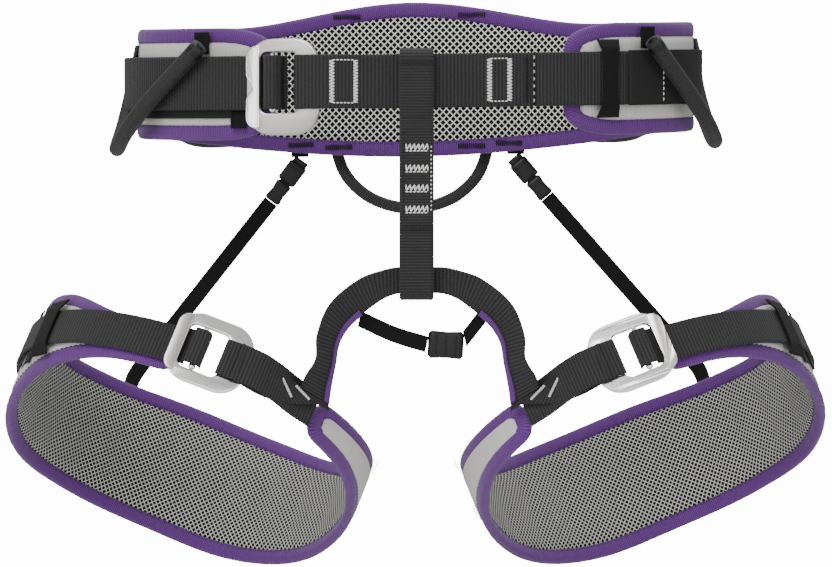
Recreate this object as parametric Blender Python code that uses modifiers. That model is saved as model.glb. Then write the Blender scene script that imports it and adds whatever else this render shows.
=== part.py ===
"""A climbing harness: padded waist belt, belay loop, two adjustable leg loops, gear loops,
rear risers and metal strap buckles. Metres, +Z up, -Y to the front, and the origin in the
middle of the waist ring. In names, left is the side at -X, as seen from the front."""

import math

import bmesh
import bpy
from mathutils import Matrix, Vector

# ---- driving dimensions -------------------------------------------------------------------
GAP = 0.0003                   # clearance between neighbouring pieces
BELT_HALF_WIDTH = 0.1378       # half width and half depth of the belt's own ellipse
BELT_HALF_DEPTH = 0.0880
BELT_TILT, BELT_ROLL = 0.055, 0.015   # the back sits higher, and the left side a little lower
BELT_MID = 0.0049
BELT_END = math.radians(150)   # where the padding stops, from the middle of the back
BELT_CORNER = math.radians(14)  # the round corner's length, and how much height it takes off
CORNER_DROP = 0.013
TOP_BACK, TOP_SIDE, TOP_FADE = 0.0408, 0.0285, math.radians(42)
BOTTOM_BACK, BOTTOM_SIDE, BOTTOM_FADE = 0.0395, 0.0262, math.radians(84)
BINDING = 0.0034               # radius of the rolled edge binding
END_RADIUS, SIDE_RADIUS = 0.095, 0.11  # the belt's radius at the pad's ends and at the sides,
                               # which turn a small length along the belt into an angle
LINING, FOAM, SHELL = 0.0011, 0.0046, 0.0011   # layer thicknesses
WEB, WEB_HALF = 0.0021, 0.0130  # waist webbing: thickness and half width
WEB_RISE = 0.0013
LEG_WEB, LEG_WEB_HALF = 0.0018, 0.0093
GEAR_TUBE, HAUL_TUBE = 0.0042, 0.0032   # radii of the loops' tubes
HAUL_REACH = 0.0385            # half width of the haul loop between its tabs

LEG_HALF_WIDTH, LEG_HALF_DEPTH = 0.0892, 0.0920
LEG_CENTRE = Vector((-0.1094, -0.0067, -0.1635))
LEG_TURN = (Matrix.Rotation(math.radians(2.7), 3, "Z")
            @ Matrix.Rotation(math.radians(22.9), 3, "Y")
            @ Matrix.Rotation(math.radians(-18.9), 3, "X"))
LEG_START, LEG_END = -166, 147  # degrees round the leg from the middle of its back
LEG_BINDING, LEG_FOAM = 0.0032, 0.0036
LEG_RADIUS = 0.085             # turns a small length along the leg loop into an angle
# Height in mm of the leg pad's two edges above and below its middle line, at these angles.
LEG_ANGLES = (-166, -140, -115, -90, -60, -30, 0, 30, 60, 90, 120, 147)
LEG_UPPER = (9, 12.5, 23, 26, 23, 29, 34.5, 31, 22, 13.5, 10.5, 9.5)
LEG_LOWER = (11, 11.5, 18.5, 29.5, 38, 37, 35.5, 37.5, 34, 22.5, 13, 9.5)

HINGE_Y, HINGE_Z = -0.0945, -0.0946   # the axis of the belay loop's lower bight
BELAY_HALF, BELAY_WEB = 0.0081, 0.0024
BELAY_BIGHT = 0.0068
BELAY_X = -0.0019              # the belay loop hangs a little to the left of the middle

COLOURS = {
    "lining": ((0.16, 0.16, 0.15), 0.9, 0.0),
    "foam": ((0.02, 0.02, 0.02), 0.95, 0.0),
    "shell": ((0.45, 0.44, 0.42), 0.85, 0.0),
    "binding": ((0.12, 0.05, 0.30), 0.8, 0.0),
    "webbing": ((0.035, 0.035, 0.037), 0.75, 0.0),
    "elastic": ((0.008, 0.007, 0.007), 0.7, 0.0),
    "plastic": ((0.012, 0.012, 0.012), 0.45, 0.0),
    "metal": ((0.60, 0.58, 0.55), 0.3, 1.0),
}


# ---- curves and surfaces ------------------------------------------------------------------
def ease(t):
    t = min(max(t, 0.0), 1.0)
    return t * t * (3 - 2 * t)


def between(stations, values, x):
    """A smooth value at x through values that stand at the given stations."""
    last = len(stations) - 2
    i = max(k for k in range(last + 1) if k == 0 or stations[k] <= x)
    t = min(max((x - stations[i]) / (stations[i + 1] - stations[i]), 0), 1)

    def slope(k):
        a, b = max(k - 1, 0), min(k + 1, last + 1)
        return (values[b] - values[a]) / (stations[b] - stations[a])

    span = stations[i + 1] - stations[i]
    a, b = values[i], values[i + 1]
    return ((2 * t**3 - 3 * t**2 + 1) * a + (t**3 - 2 * t**2 + t) * span * slope(i)
            + (3 * t**2 - 2 * t**3) * b + (t**3 - t**2) * span * slope(i + 1))


def through(values, count, places=None):
    """count vectors on one smooth curve through the given ones, evenly spaced along places,
    which are the values themselves unless they are given."""
    values = [Vector(v) for v in values]
    places = [Vector(p) for p in places or values]
    length = [0.0]
    for a, b in zip(places, places[1:]):
        length.append(length[-1] + (b - a).length)
    found = []
    for i in range(count):
        s = length[-1] * i / (count - 1)
        found.append(Vector(between(length, [v[k] for v in values], s) for k in range(3)))
    return found


def belt(angle, rise, off=0.0):
    """A point of the belt: angle from the middle of the back (negative to -X), rise above the
    belt's middle line, off outwards from the belt's own ellipse."""
    x, y = BELT_HALF_WIDTH * math.sin(angle), BELT_HALF_DEPTH * math.cos(angle)
    out = Vector((math.sin(angle) / BELT_HALF_WIDTH, math.cos(angle) / BELT_HALF_DEPTH, 0))
    out.normalize()
    middle = BELT_MID + BELT_TILT * y + BELT_ROLL * x
    return Vector((x, y, middle + rise)) + off * out


def belt_edge(angle, side):
    """Height of the belt's top (side 1) or bottom (side -1) edge over its middle line."""
    back, edge, fade = ((TOP_BACK, TOP_SIDE, TOP_FADE) if side > 0
                        else (BOTTOM_BACK, BOTTOM_SIDE, BOTTOM_FADE))
    height = edge + (back - edge) * (1 - ease(abs(angle) / fade))
    past = max(0.0, abs(angle) - (BELT_END - BELT_CORNER)) / BELT_CORNER
    return side * (height - CORNER_DROP * (1 - math.sqrt(max(0.0, 1 - min(past, 1) ** 2))))


def leg(degrees, rise, off=0.0):
    """A point of the leg loop at -X: degrees from the middle of its back (negative outwards)."""
    angle = math.radians(degrees)
    out = Vector((math.sin(angle) / LEG_HALF_WIDTH, math.cos(angle) / LEG_HALF_DEPTH, 0))
    out.normalize()
    local = Vector((LEG_HALF_WIDTH * math.sin(angle), LEG_HALF_DEPTH * math.cos(angle), rise))
    return LEG_CENTRE + LEG_TURN @ (local + off * out)


def leg_edge(degrees, side):
    return side * between(LEG_ANGLES, LEG_UPPER if side > 0 else LEG_LOWER, degrees) / 1000


# ---- making objects -----------------------------------------------------------------------
def clear_scene():
    for obj in list(bpy.data.objects):
        bpy.data.objects.remove(obj, do_unlink=True)


def make_materials():
    made = {}
    for name, (colour, rough, metal) in COLOURS.items():
        mat = bpy.data.materials.new(name)
        mat.use_nodes = True
        shader = mat.node_tree.nodes["Principled BSDF"]
        shader.inputs["Base Color"].default_value = (*colour, 1)
        shader.inputs["Roughness"].default_value = rough
        shader.inputs["Metallic"].default_value = metal
        made[name] = mat
    return made


clear_scene()
MATERIALS = make_materials()
HARNESS = bpy.data.collections.new("climbing_harness")
bpy.context.scene.collection.children.link(HARNESS)


def joint_empty(name, at, parent=None):
    empty = bpy.data.objects.new(name, None)
    empty.empty_display_size = 0.02
    empty.location = at
    HARNESS.objects.link(empty)
    if parent:
        adopt(empty, parent)
    return empty


def adopt(obj, parent):
    bpy.context.view_layer.update()
    obj.parent = parent
    obj.matrix_parent_inverse = parent.matrix_world.inverted()


def add(name, data, material, parent):
    obj = bpy.data.objects.new(name, data)
    data.materials.append(MATERIALS[material])
    HARNESS.objects.link(obj)
    adopt(obj, parent)
    return obj


def sheet(name, at, columns, rows, thickness, material, parent):
    """A panel: a grid whose point (u, v), each 0 to 1, lies at at(u, v), thickened evenly."""
    bm = bmesh.new()
    bmesh.ops.create_grid(bm, x_segments=columns, y_segments=rows, size=0.5)
    for vert in bm.verts:
        vert.co = at(vert.co.x + 0.5, vert.co.y + 0.5)
    mesh = bpy.data.meshes.new(name)
    bm.to_mesh(mesh)
    bm.free()
    mesh.shade_smooth()
    obj = add(name, mesh, material, parent)
    thick = obj.modifiers.new("thickness", "SOLIDIFY")
    thick.thickness = thickness
    thick.offset = 0.0
    return obj


def tube(name, points, radius, material, parent, cyclic=False, sides=2):
    curve = bpy.data.curves.new(name, "CURVE")
    curve.dimensions = "3D"
    curve.bevel_depth = radius
    curve.bevel_resolution = sides
    curve.use_fill_caps = not cyclic
    spline = curve.splines.new("POLY")
    spline.points.add(len(points) - 1)
    for point, co in zip(spline.points, points):
        point.co = (*co, 1)
    spline.use_cyclic_u = cyclic
    return add(name, curve, material, parent)


def ribbon(name, stations, thickness, material, parent, count=16):
    """A flat strap. Each station is a middle point and the vector to the strap's edge."""
    places = [s[0] for s in stations]
    middle = through(places, count + 1)
    edge = through([s[1] for s in stations], count + 1, places)

    def at(u, v):
        i = round(u * count)
        return middle[i] + (2 * v - 1) * edge[i]

    return sheet(name, at, count, 1, thickness, material, parent)


def round_outline(width, height, radius, steps=4):
    points = []
    for corner in range(4):
        sx, sy = ((1, 1), (-1, 1), (-1, -1), (1, -1))[corner]
        for i in range(steps + 1):
            a = math.radians(90 * (corner + i / steps))
            points.append((sx * (width / 2 - radius) + radius * math.cos(a),
                           sy * (height / 2 - radius) + radius * math.sin(a)))
    return points


def plate(name, outlines, thickness, place, material, parent):
    """A flat plate in the local XY plane of place, with its outline and holes as splines."""
    curve = bpy.data.curves.new(name, "CURVE")
    curve.dimensions = "2D"
    curve.fill_mode = "BOTH"
    curve.extrude = thickness / 2
    for outline in outlines:
        spline = curve.splines.new("POLY")
        spline.points.add(len(outline) - 1)
        for point, (x, y) in zip(spline.points, outline):
            point.co = (x, y, 0, 1)
        spline.use_cyclic_u = True
    obj = bpy.data.objects.new(name, curve)
    curve.materials.append(MATERIALS[material])
    HARNESS.objects.link(obj)
    obj.matrix_world = place
    adopt(obj, parent)
    return obj


def block(name, size, place, bevel, material, parent):
    bm = bmesh.new()
    bmesh.ops.create_cube(bm, size=1.0)
    bmesh.ops.scale(bm, vec=size, verts=bm.verts)
    mesh = bpy.data.meshes.new(name)
    bm.to_mesh(mesh)
    bm.free()
    obj = bpy.data.objects.new(name, mesh)
    mesh.materials.append(MATERIALS[material])
    HARNESS.objects.link(obj)
    obj.matrix_world = place
    adopt(obj, parent)
    edge = obj.modifiers.new("edges", "BEVEL")
    edge.width = bevel
    edge.segments = 2
    return obj


def placed(origin, along, up):
    """A matrix at origin: local X along the strap, Y up the strap's width, Z out of it."""
    x = Vector(along).normalized()
    z = x.cross(Vector(up)).normalized()
    y = z.cross(x)
    turn = Matrix((x, y, z)).transposed()
    return Matrix.Translation(origin) @ turn.to_4x4()


# ---- the waist belt -----------------------------------------------------------------------
def belt_pad(name, inner, outer, columns, rows, inset, material, parent):
    """One layer of the belt's padding, between two offsets, inset from the belt's outline."""
    reach = BELT_END - inset / END_RADIUS

    def at(u, v):
        angle = (2 * u - 1) * reach
        top, bottom = belt_edge(angle, 1) - inset, belt_edge(angle, -1) + inset
        return belt(angle, bottom + v * (top - bottom), (inner + outer) / 2)

    return sheet(name, at, columns, rows, outer - inner, material, parent)


def edge_loop(edge, place, start, end, inset, inset_angle, count, off):
    """Points round a pad's outline: along the top, down one end, back along the bottom."""
    points = []
    first, last = start + inset_angle, end - inset_angle
    for side in (1, -1):
        run = range(count + 1) if side > 0 else range(count, -1, -1)
        for i in run:
            t = i / count
            angle = first + (last - first) * (t - 0.03 * math.sin(4 * math.pi * t))
            points.append(place(angle, edge(angle, side) - side * inset, off))
        end_angle = last if side > 0 else first
        top, bottom = edge(end_angle, 1) - inset, edge(end_angle, -1) + inset
        for v in (0.33, 0.67):
            mix = v if side > 0 else 1 - v
            points.append(place(end_angle, top + (bottom - top) * mix, off))
    return points


def make_belt(parent):
    lining = -0.0052
    foam = lining + LINING + GAP
    shell = foam + FOAM + GAP
    inset = 2 * BINDING + GAP
    belt_pad("waist_lining", lining, lining + LINING, 40, 2, inset, "lining", parent)
    belt_pad("waist_foam", foam, foam + FOAM, 40, 2, inset, "foam", parent)
    belt_pad("waist_outer_shell", shell, shell + SHELL, 40, 2, inset, "shell", parent)
    middle = (lining + shell + SHELL) / 2
    rim = edge_loop(belt_edge, belt, -BELT_END, BELT_END, BINDING, BINDING / END_RADIUS, 36, middle)
    tube("waist_binding", rim, BINDING, "binding", parent, cyclic=True, sides=1)


def strap(name, place, stations, half, rise, thickness, step, material, parent):
    """Webbing over a surface. Each station is an angle in degrees and an offset outwards, and
    long stretches between stations are divided into steps of at most step degrees."""
    stations = sorted(stations)
    line = [stations[0]]
    for (a, low), (b, high) in zip(stations, stations[1:]):
        count = math.ceil((b - a) / step)
        line += [(a + (b - a) * i / count, low + (high - low) * i / count)
                 for i in range(1, count + 1)]

    def at(u, v):
        angle, off = line[round(u * (len(line) - 1))]
        return place(angle, rise + (2 * v - 1) * half, off)

    return sheet(name, at, len(line) - 1, 1, thickness, material, parent)


def belt_degrees(degrees, rise, off):
    return belt(math.radians(degrees), rise, off)


def belt_strap(name, stations, parent):
    strap(name, belt_degrees, stations, WEB_HALF, WEB_RISE, WEB, 7.0, "webbing", parent)


FIRST_LAYER = 0.0046           # middle of the webbing next to the shell
SECOND_LAYER = FIRST_LAYER + WEB + GAP
BUCKLE_OFF = SECOND_LAYER + WEB / 2 + 2 * GAP + 0.0013
BUCKLE_AT = -153.0             # degrees
BAR = 0.0017
OVER_BAR = BAR + GAP + WEB / 2  # middle of webbing that passes over a bar, above the plane
PER_DEGREE = 0.0023            # metres along the strap for each degree, at the buckle
BUCKLE_CURVE = 0.177           # the belt's radius of curvature there


def at_buckle(along, above):
    """A strap station where the strap passes the flat buckle: along the strap from the buckle's
    middle, and above its plane. The belt curves away from that plane."""
    return BUCKLE_AT - along / PER_DEGREE, BUCKLE_OFF + above + along**2 / (2 * BUCKLE_CURVE)


def make_waist_webbing(parent):
    belt_strap("waist_webbing", [(BUCKLE_AT, FIRST_LAYER), (-60, FIRST_LAYER),
                                 (60, FIRST_LAYER), (156.8, FIRST_LAYER)], parent)
    tail = [(-0.0130, -0.0036), (-0.0092, -0.0016), (-0.0089, OVER_BAR - 0.0012),
            (-0.0075, OVER_BAR + 0.0002), (-0.0055, OVER_BAR + 0.0005),
            (-0.0035, OVER_BAR + 0.0002), (-0.0021, OVER_BAR - 0.0012), (-0.0018, -0.0030)]
    belt_strap("waist_strap_tail",
               [(-70, SECOND_LAYER), (-110, SECOND_LAYER), (-145.5, SECOND_LAYER)]
               + [at_buckle(*station) for station in tail], parent)
    tie_in = [(0.0058, OVER_BAR - 0.0028), (0.0062, OVER_BAR - 0.0004), (0.0085, OVER_BAR),
              (0.0190, OVER_BAR), (0.0260, OVER_BAR - 0.0025)]
    belt_strap("tie_in_webbing",
               [at_buckle(*station) for station in tie_in]
               + [(-170, 0.0068), (-180, 0.0065), (-190, 0.0060), (-202.7, FIRST_LAYER)], parent)


def keeper(name, degrees, half, clear, parent):
    """An elastic band over the webbing, let into the shell above and below it."""
    stations = [(-0.0176, FIRST_LAYER - 0.0007), (-0.0148, clear - 0.0012),
                (-0.0125, clear), (0.0151, clear), (0.0174, clear - 0.0012),
                (0.0202, FIRST_LAYER - 0.0007)]
    rises = [s[0] for s in stations]
    offs = [s[1] for s in stations]

    def at(u, v):
        rise = rises[0] + u * (rises[-1] - rises[0])
        angle = math.radians(degrees) + (2 * v - 1) * half / SIDE_RADIUS
        return belt(angle, rise, between(rises, offs, rise))

    return sheet(name, at, 12, 1, 0.0009, "elastic", parent)


# ---- loops and their tabs -----------------------------------------------------------------
def tab(name, degrees, low, high, off, half, parent, thickness=0.0012):
    def at(u, v):
        return belt(math.radians(degrees) + (2 * u - 1) * half / SIDE_RADIUS,
                    low + v * (high - low), off)

    return sheet(name, at, 2, 2, thickness, "elastic", parent)


TAB_OFF = 0.0039
GEAR_OFF = SECOND_LAYER + WEB / 2 + GEAR_TUBE + 0.0006
# Each gear loop: degrees, rise and extra offset of the tube's middle, from tab to tab.
FRONT_LOOP = ((130, 0.0190, 0), (125, 0.0075, 0.0004), (115, -0.0110, 0.0006),
              (106, -0.0235, 0), (97, -0.0305, -0.0010), (87, -0.0290, -0.0016),
              (79, -0.0200, -0.0010), (73, -0.0050, 0), (71, 0.0090, 0))
REAR_LOOP = ((62, 0.0140, 0), (60.5, -0.0030, 0), (57, -0.0180, 0), (51, -0.0265, 0),
             (44, -0.0285, 0), (36, -0.0265, 0), (30.5, -0.0180, 0), (28, -0.0030, 0),
             (27, 0.0140, 0))
LEFT_LEAN = (4.0, 2.8, 1.0)     # degrees that the left front loop's first points lie further on
# Each tab that holds them: its name, angle, top and half length.
GEAR_TABS = (("front", 127.5, 0.0215, 0.0045), ("side", 66.5, 0.0193, 0.0125),
             ("rear", 27, 0.0193, 0.0045))


def gear_loop_points(loop, side):
    lean = LEFT_LEAN if side < 0 and loop is FRONT_LOOP else ()
    return [belt(math.radians(side * (d + (lean[i] if i < len(lean) else 0))), rise,
                 GEAR_OFF + more) for i, (d, rise, more) in enumerate(loop)]


def make_gear_loops(waist):
    for side, word in ((-1, "left"), (1, "right")):
        for loop, where in ((FRONT_LOOP, "front"), (REAR_LOOP, "rear")):
            points = gear_loop_points(loop, side)
            hinge = joint_empty(f"gear_hinge_{where}_{word}", (points[0] + points[-1]) / 2, waist)
            tube(f"gear_loop_{where}_{word}", through(points, 19), GEAR_TUBE, "plastic", hinge)
        for where, degrees, top, half in GEAR_TABS:
            lean = LEFT_LEAN[0] if side < 0 and where == "front" else 0
            tab(f"gear_tab_{where}_{word}", side * (degrees + lean), 0.0156, top, TAB_OFF, half,
                waist)


HAUL_OFF = SECOND_LAYER + HAUL_TUBE


def make_haul_loop(waist):
    half = HAUL_REACH
    top = belt(math.asin(half / BELT_HALF_WIDTH), -0.0270, HAUL_OFF + 0.001)
    y = top.y
    outline = ((half, top.z), (half + 0.0005, top.z - 0.0100), (half - 0.0055, top.z - 0.0240),
               (half - 0.0190, top.z - 0.0350), (0, top.z - 0.0395))
    right = [Vector((x, y, z)) for x, z in outline]
    left = [Vector((-p.x, p.y, p.z)) for p in reversed(right[:-1])]
    hinge = joint_empty("haul_hinge", (0, y, top.z), waist)
    tube("haul_loop", through(right + left, 19), HAUL_TUBE, "plastic", hinge, sides=1)
    for side, word in ((-1, "left"), (1, "right")):
        angle = side * math.degrees(math.asin(half / BELT_HALF_WIDTH))
        tab(f"haul_tab_{word}", angle, -0.0330, -0.0190, TAB_OFF, 0.0048, waist)


# ---- buckles ------------------------------------------------------------------------------
def make_buckle(prefix, place, size, window, bars, parent, slider_half):
    """A two-piece strap buckle in place's local frame: an outer frame with a fixed crossbar,
    and a sliding bar that the loose strap turns round."""
    width, height, corner = size
    left, cross, cross_wide, right, window_high, window_up = window
    hinge_at = place @ Vector((cross + cross_wide / 2, 0, 0))
    hinge = joint_empty(prefix + "_buckle_hinge", hinge_at, parent)

    def opening(x0, x1, high, radius):
        return [(x + (x0 + x1) / 2, y + window_up)
                for x, y in round_outline(x1 - x0, high, radius)]

    plate(prefix + "_buckle_frame",
          [round_outline(width, height, corner, 5),
           opening(left, cross, window_high, 0.0016),
           opening(cross + cross_wide, right, window_high - 0.006, 0.0015)],
          0.0026, place, "metal", hinge)
    bar_at = place @ Matrix.Translation((bars, window_up, 0))
    block(prefix + "_buckle_slider", (2 * BAR, 2 * slider_half, 2 * BAR), bar_at, 0.0007,
          "metal", hinge)
    return hinge


def make_waist_buckle(waist):
    angle = math.radians(BUCKLE_AT)
    origin = belt(angle, -0.0010, BUCKLE_OFF)
    ahead = belt(angle - 0.01, -0.0010, BUCKLE_OFF) - belt(angle + 0.01, -0.0010, BUCKLE_OFF)
    place = placed(origin, ahead, (0, 0, 1))
    make_buckle("waist", place, (0.0366, 0.0464, 0.0125),
                (-0.0112, 0.0075, 0.0034, 0.0152, 0.0290, 0.0021), -0.0055, waist, 0.0141)


# ---- rear risers --------------------------------------------------------------------------
def make_riser(side, waist, leg_parent):
    word = "left" if side < 0 else "right"
    degrees = -24.5 if side < 0 else 22.5
    leg_degrees = -22 if side < 0 else -26
    top = belt(math.radians(degrees), -0.0375, TAB_OFF)
    tab(f"riser_tab_{word}", degrees, -0.0385, -0.0270, TAB_OFF, 0.0046, waist)
    end = leg(leg_degrees, 0.0270, 0.0044)
    above = leg(leg_degrees, 0.0390, 0.0054)
    if side > 0:
        end, above = Vector((-end.x, end.y, end.z)), Vector((-above.x, above.y, above.z))
    run = (above - top).normalized()
    across = run.cross(Vector((0, 1, 0))).normalized()
    start = top + Vector((0, 0, -0.0040))

    def along(distance):
        return start + run * distance

    frame = placed(along(0.0068), run, across)
    block(f"riser_socket_{word}", (0.0120, 0.0100, 0.0052), frame, 0.0010, "plastic", waist)
    hinge = joint_empty(f"riser_release_{word}", along(0.0190), waist)
    frame = placed(along(0.0190), run, across)
    block(f"riser_plug_{word}", (0.0118, 0.0088, 0.0046), frame, 0.0010, "plastic", hinge)
    half = across * 0.0040
    first = along(0.0254)
    stations = [(first, half), (first.lerp(above, 0.33), half), (first.lerp(above, 0.75), half),
                (above, half), (end, half)]
    ribbon(f"riser_strap_{word}", stations, 0.0012, "elastic", leg_parent, count=12)


# ---- belay loop ---------------------------------------------------------------------------
def make_belay_loop(waist):
    top_z, top_radius = 0.0114, 0.0035 + BELAY_WEB / 2
    low_radius = BELAY_BIGHT + BELAY_WEB / 2
    path = []
    for i in range(9):
        a = math.pi * i / 8
        path.append((HINGE_Y - top_radius * math.cos(a), top_z + top_radius * math.sin(a)))
    for z in (-0.005, -0.035, -0.065):
        t = ease((top_z - z) / (top_z - HINGE_Z))
        path.append((HINGE_Y + top_radius + (low_radius - top_radius) * t, z))
    for i in range(11):
        a = math.pi * i / 10
        path.append((HINGE_Y + low_radius * math.cos(a), HINGE_Z - low_radius * math.sin(a)))
    for z in (-0.065, -0.035, -0.005):
        t = ease((top_z - z) / (top_z - HINGE_Z))
        path.append((HINGE_Y - top_radius - (low_radius - top_radius) * t, z))
    path.append(path[0])
    slide = joint_empty("belay_slide", (BELAY_X, HINGE_Y, -0.04), waist)

    def at(u, v):
        y, z = path[round(u * (len(path) - 1))]
        return Vector((BELAY_X + (2 * v - 1) * BELAY_HALF, y, z))

    obj = sheet("belay_loop", at, len(path) - 1, 1, BELAY_WEB, "webbing", slide)
    bm = bmesh.new()
    bm.from_mesh(obj.data)
    bmesh.ops.remove_doubles(bm, verts=bm.verts, dist=1e-6)
    bm.to_mesh(obj.data)
    bm.free()


# ---- leg loops ----------------------------------------------------------------------------
LEG_BUCKLE_AT = -174.4
LEG_PER_DEGREE, LEG_BUCKLE_CURVE = 0.00153, 0.084
LEG_FIRST = 0.0037
LEG_BUCKLE_OFF = LEG_FIRST + LEG_WEB / 2 + 0.0020 + 0.0013
LEG_OVER_BAR = BAR + GAP + LEG_WEB / 2
LEG_STRAP_RISE = 0.0015


def at_leg_buckle(along, above):
    return (LEG_BUCKLE_AT - along / LEG_PER_DEGREE,
            LEG_BUCKLE_OFF + above + along**2 / (2 * LEG_BUCKLE_CURVE))


def leg_pad(name, inner, outer, inset, material, parent):
    inset_angle = math.degrees(inset / LEG_RADIUS)
    start, end = LEG_START + inset_angle, LEG_END - inset_angle

    def at(u, v):
        angle = start + u * (end - start)
        top, bottom = leg_edge(angle, 1) - inset, leg_edge(angle, -1) + inset
        return leg(angle, bottom + v * (top - bottom), (inner + outer) / 2)

    return sheet(name, at, 34, 2, outer - inner, material, parent)


def leg_strap(name, stations, parent):
    strap(name, leg, stations, LEG_WEB_HALF, LEG_STRAP_RISE, LEG_WEB, 7.0, "webbing", parent)


def make_leg(hinge):
    lining = -0.0048
    foam = lining + LINING + GAP
    shell = foam + LEG_FOAM + GAP
    inset = 2 * LEG_BINDING + GAP
    leg_pad("leg_lining_left", lining, lining + LINING, inset, "lining", hinge)
    leg_pad("leg_foam_left", foam, foam + LEG_FOAM, inset, "foam", hinge)
    leg_pad("leg_outer_shell_left", shell, shell + SHELL, inset, "shell", hinge)
    middle = (lining + shell + SHELL) / 2
    rim = edge_loop(leg_edge, leg, LEG_START, LEG_END, LEG_BINDING,
                    math.degrees(LEG_BINDING / LEG_RADIUS), 32, middle)
    tube("leg_binding_left", rim, LEG_BINDING, "binding", hinge, cyclic=True, sides=1)

    arch = [(-0.0140, -0.0034), (-0.0092, -0.0014), (-0.0089, LEG_OVER_BAR - 0.0012),
            (-0.0075, LEG_OVER_BAR + 0.0002), (-0.0055, LEG_OVER_BAR + 0.0004),
            (-0.0035, LEG_OVER_BAR + 0.0002), (-0.0021, LEG_OVER_BAR - 0.0012),
            (-0.0017, -0.0030)]
    leg_strap("leg_webbing_left", [(-62, LEG_FIRST), (-110, LEG_FIRST), (-163, LEG_FIRST)]
              + [at_leg_buckle(*station) for station in arch], hinge)
    inner = [(0.0050, LEG_OVER_BAR - 0.0028), (0.0055, LEG_OVER_BAR - 0.0004),
             (0.0080, LEG_OVER_BAR), (0.0205, LEG_OVER_BAR), (0.0280, LEG_OVER_BAR - 0.0045)]
    leg_strap("leg_adjuster_strap_left", [at_leg_buckle(*station) for station in inner]
              + [(-203, LEG_FIRST + 0.0006), (-211, LEG_FIRST)], hinge)

    def keeper_at(u, v):
        rise = LEG_STRAP_RISE + (2 * u - 1) * 0.0150
        side = ease((abs(2 * u - 1) - 0.62) / 0.38)
        off = LEG_FIRST + LEG_WEB / 2 + GAP + 0.0006 - side * 0.0019
        return leg(-114.5 + (2 * v - 1) * 3.6, rise, off)

    sheet("leg_keeper_left", keeper_at, 12, 1, 0.0009, "elastic", hinge)

    origin = leg(LEG_BUCKLE_AT, LEG_STRAP_RISE, LEG_BUCKLE_OFF)
    ahead = (leg(LEG_BUCKLE_AT - 1, LEG_STRAP_RISE, LEG_BUCKLE_OFF)
             - leg(LEG_BUCKLE_AT + 1, LEG_STRAP_RISE, LEG_BUCKLE_OFF))
    place = placed(origin, ahead, LEG_TURN @ Vector((0, 0, 1)))
    make_buckle("leg", place, (0.0396, 0.0356, 0.0125),
                (-0.0130, 0.0068, 0.0032, 0.0172, 0.0224, 0), -0.0055, hinge, 0.0107)

    corner = leg(-209, 0.0040, LEG_FIRST + LEG_WEB + GAP + 0.0004)
    bridge = [(corner, (0.0069, 0.0043, -0.0046)),
              ((-0.0495, -0.0880, -0.1440), (0.0060, 0.0062, -0.0034)),
              ((-0.0458, -0.0900, -0.1330), (0.0042, 0.0080, -0.0015)),
              ((-0.0445, -0.0925, -0.1222), (0.0050, 0.0074, -0.0018)),
              ((-0.0388, -0.0940, -0.1106), (0.0048, 0.0060, -0.0050)),
              ((-0.0262, -0.0945, -0.1000), (0.0030, 0.0030, -0.0068)),
              ((-0.0172, -0.0945, -0.0950), (0.0004, 0.0006, -0.0055)),
              ((-0.0100, -0.0945, -0.0944), (0, 0, -0.0053)),
              ((-0.0005, -0.0945, -0.0944), (0, 0, -0.0053))]
    ribbon("bridge_webbing_left", bridge, LEG_WEB, "webbing", hinge, count=26)
    start, end = Vector((-0.0290, -0.0835, -0.1125)), Vector((0.0028, -0.0765, -0.1248))
    half = Vector((0.0009, 0, 0.0038))
    ribbon("linker_strap_left", [(start, half), (start.lerp(end, 0.5) - Vector((0, 0, 0.0012)),
                                                 half), (end, half)],
           0.0011, "elastic", hinge, count=6)


def mirror_leg(hinges):
    """The leg loop at +X: each piece of the left one, with its mesh mirrored in X."""
    bpy.context.view_layer.update()
    flip = Matrix.Scale(-1, 4, (1, 0, 0))
    for obj in [o for o in HARNESS.objects if o.type != "EMPTY"]:
        home = obj.parent.name
        if not (home.startswith("left_leg") or home == "leg_buckle_hinge"):
            continue
        if obj.name.startswith(("linker", "riser")):
            continue
        twin = obj.copy()
        if home == "leg_buckle_hinge":
            obj.name += "_left"
        twin.name = obj.name.replace("_left", "_right")
        twin.parent = None
        HARNESS.objects.link(twin)
        twin.matrix_world = flip @ obj.matrix_world
        adopt(twin, hinges[home == "leg_buckle_hinge"])


def make_linker(waist, right_leg):
    """The elastic that ties the two leg loops behind the belay loop, and its slider."""
    start, end = Vector((0.0305, -0.0835, -0.1110)), Vector((0.0226, -0.0765, -0.1215))
    half = Vector((-0.0009, 0, 0.0038))
    ribbon("linker_strap_right", [(start, half), (start.lerp(end, 0.5), half), (end, half)],
           0.0011, "elastic", right_leg, count=4)
    place = placed((0.0126, -0.0765, -0.1252), (1, 0, -0.05), (0, 0, 1))
    slide = joint_empty("linker_slide", (0.0126, -0.0765, -0.1252), waist)
    block("linker_slider", (0.0172, 0.0135, 0.0042), place, 0.0014, "plastic", slide)


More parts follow.
